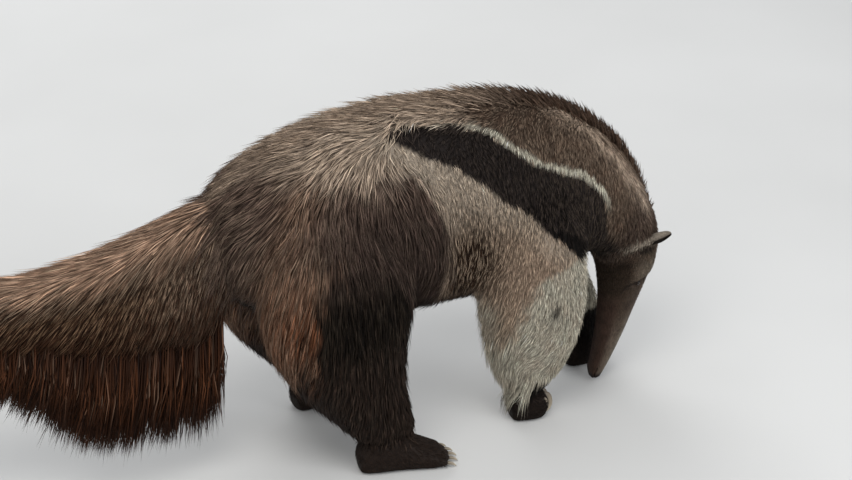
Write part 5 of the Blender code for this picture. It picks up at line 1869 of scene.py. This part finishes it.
def solid_mesh(name, tubes, marks=None):
    """Closed tubes of rows as one mesh, with places round and along each, or marks for along."""
    soup = Soup()
    strands = []
    for rows in tubes:
        soup.add_rows(rows)
        count, sides = rows.shape[:2]
        along, across = flat_grid(np.linspace(0, 1, count), np.linspace(0, 1, sides))
        seed = np.full(along.size, 0.3 * len(strands))
        strands.append(np.stack([np.sin(across * 2 * math.pi), along, seed], 1))
    strands = np.concatenate(strands)
    if marks is not None:
        strands[:, 1] = marks
    mesh = soup.mesh(name)
    mark_strands(mesh, strands)
    return mesh


def add_eyes(model, trunk):
    material = eye_material()
    for side, mirror in MIRRORS.items():
        rows, tilts = eyeball(trunk, mirror)
        mesh = solid_mesh(f"eyeball_{side}", [rows], tilts / math.pi)
        model.add(f"eyeball_{side}", mesh, "eye", material, f"eye_{side}")


def add_claws(model):
    material = claw_material()
    for kind, stands in (("fore", FOREFEET), ("hind", HINDFEET)):
        for side, stand in stands.items():
            if kind == "fore":
                tubes = [fore_claw_rows(path, thick) for path, thick in fore_claws(stand)]
            else:
                tubes = [hind_claw_rows(start, end) for start, end in hind_toes(stand)]
            name = f"{kind}_claws_{side}"
            nodes = [f"{kind}claw_{side}_{k + 1}" for k in range(len(tubes))]
            model.add(name, solid_mesh(name, tubes), "claw", material, *nodes)


def add_ears(model, trunk, material):
    for side, mirror in MIRRORS.items():
        rows = ear_rows(trunk, mirror)
        soup = Soup()
        soup.add_rows(rows)
        mesh = soup.mesh(f"ear_leaf_{side}")
        half = rows.shape[1] // 2
        rim = np.abs(np.linspace(-1, 1, half)) ** 6
        colours = np.zeros(rows.shape)
        colours[:, :half] = mixed(EAR_HAIR, EAR_RIM, rim)
        colours[:, half:] = EAR_INSIDE
        paint(mesh, colours.reshape(-1, 3))
        model.add(f"ear_leaf_{side}", mesh, "ear_skin", material, f"ear_{side}")


# The studio


def aim(obj, target):
    obj.rotation_euler = (Vector(target) - obj.location).to_track_quat("-Z", "Y").to_euler()


def add_camera(target):
    a, e = math.radians(AZIMUTH), math.radians(ELEVATION)
    back = Vector((math.sin(a) * math.cos(e), -math.cos(a) * math.cos(e), math.sin(e)))
    data = bpy.data.cameras.new("camera")
    data.sensor_width = SENSOR
    data.lens = LENS
    camera = linked("camera", data)
    camera.location = Vector(target) + back * DISTANCE
    aim(camera, target)
    bpy.context.scene.camera = camera


def add_light(name, place, target, size, power, colour):
    data = bpy.data.lights.new(name, "AREA")
    data.shape = "DISK"
    data.size = size
    data.energy = power
    data.color = colour
    light = linked(name, data)
    light.location = place
    aim(light, target)


def add_studio(target):
    """Soft even light on a pale floor, shown with plain colours."""
    bpy.context.scene.view_settings.view_transform = "Standard"
    world = bpy.data.worlds.new("studio")
    world.use_nodes = True
    background = world.node_tree.nodes["Background"]
    background.inputs["Color"].default_value = (0.95, 0.97, 1.0, 1.0)
    background.inputs["Strength"].default_value = 0.75
    bpy.context.scene.world = world
    add_light("key", (-1.6, -2.4, 4.2), target, 3.0, 110.0, (1.0, 0.98, 0.95))
    add_light("fill", (2.0, -3.6, 1.8), target, 3.4, 80.0, (0.97, 0.98, 1.0))
    add_light("rear", (0.5, 3.4, 3.2), target, 3.0, 60.0, WHITE)
    mesh = bpy.data.meshes.new("floor")
    corners = [(-FLOOR_HALF, -FLOOR_HALF, 0), (FLOOR_HALF, -FLOOR_HALF, 0)]
    corners += [(FLOOR_HALF, FLOOR_HALF, 0), (-FLOOR_HALF, FLOOR_HALF, 0)]
    mesh.from_pydata(corners, [], [(0, 1, 2, 3)])
    mesh.materials.append(floor_material())
    linked("floor", mesh)


# Everything


def main():
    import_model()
    forms = {
        "trunk": Form(TRUNK),
        "tail": Form(core_of_tail()),
        "tail_outline": Form(TAIL),
        "foreleg_right": Form(FORELEG_RIGHT),
        "foreleg_left": Form(FORELEG_LEFT),
        "hindleg_right": Form(HINDLEG),
        "hindleg_left": Form(left_hindleg()),
    }
    trunk = forms["trunk"]
    # The right eye stands in the same place as the frame's own.
    low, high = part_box("eye_right")
    point, normal, _ = head_place(trunk, EYE_PLACE, MIRRORS["right"])
    shift = (np.array(low) + np.array(high)) / 2 - (point - normal * SOLID_EYE_SINK)
    model = Model(shift)
    skin = Skin(forms)
    paint_skin(skin, forms)
    flesh = ["head", "neck", "torso", "tail_base", "tail_middle", "tail_tip"]
    for side in MIRRORS:
        flesh += [f"foreleg_{side}", f"hindleg_{side}", f"forefoot_{side}", f"hindfoot_{side}"]
    skin_look = skin_material()
    model.add("skin", skin.mesh, "body_coat", skin_look, *flesh)
    coat = Coat(model, skin, forms)
    coat_torso(coat)
    coat_neck(coat)
    coat_head(coat)
    coat_tail_top(coat)
    coat_curtain(coat)
    for side in MIRRORS:
        coat_foreleg(coat, side)
        coat_hindleg(coat, side)
    coat_crest(coat)
    coat_feet(coat, "forefoot", FOREFOOT, FOREFEET)
    coat_feet(coat, "hindfoot", HINDFOOT, HINDFEET)
    add_eyes(model, trunk)
    add_claws(model)
    add_ears(model, trunk, skin_look)
    target = np.array(TARGET) + shift * np.array([1.0, 1.0, 0.0])
    add_camera(target)
    add_studio(target)


main()
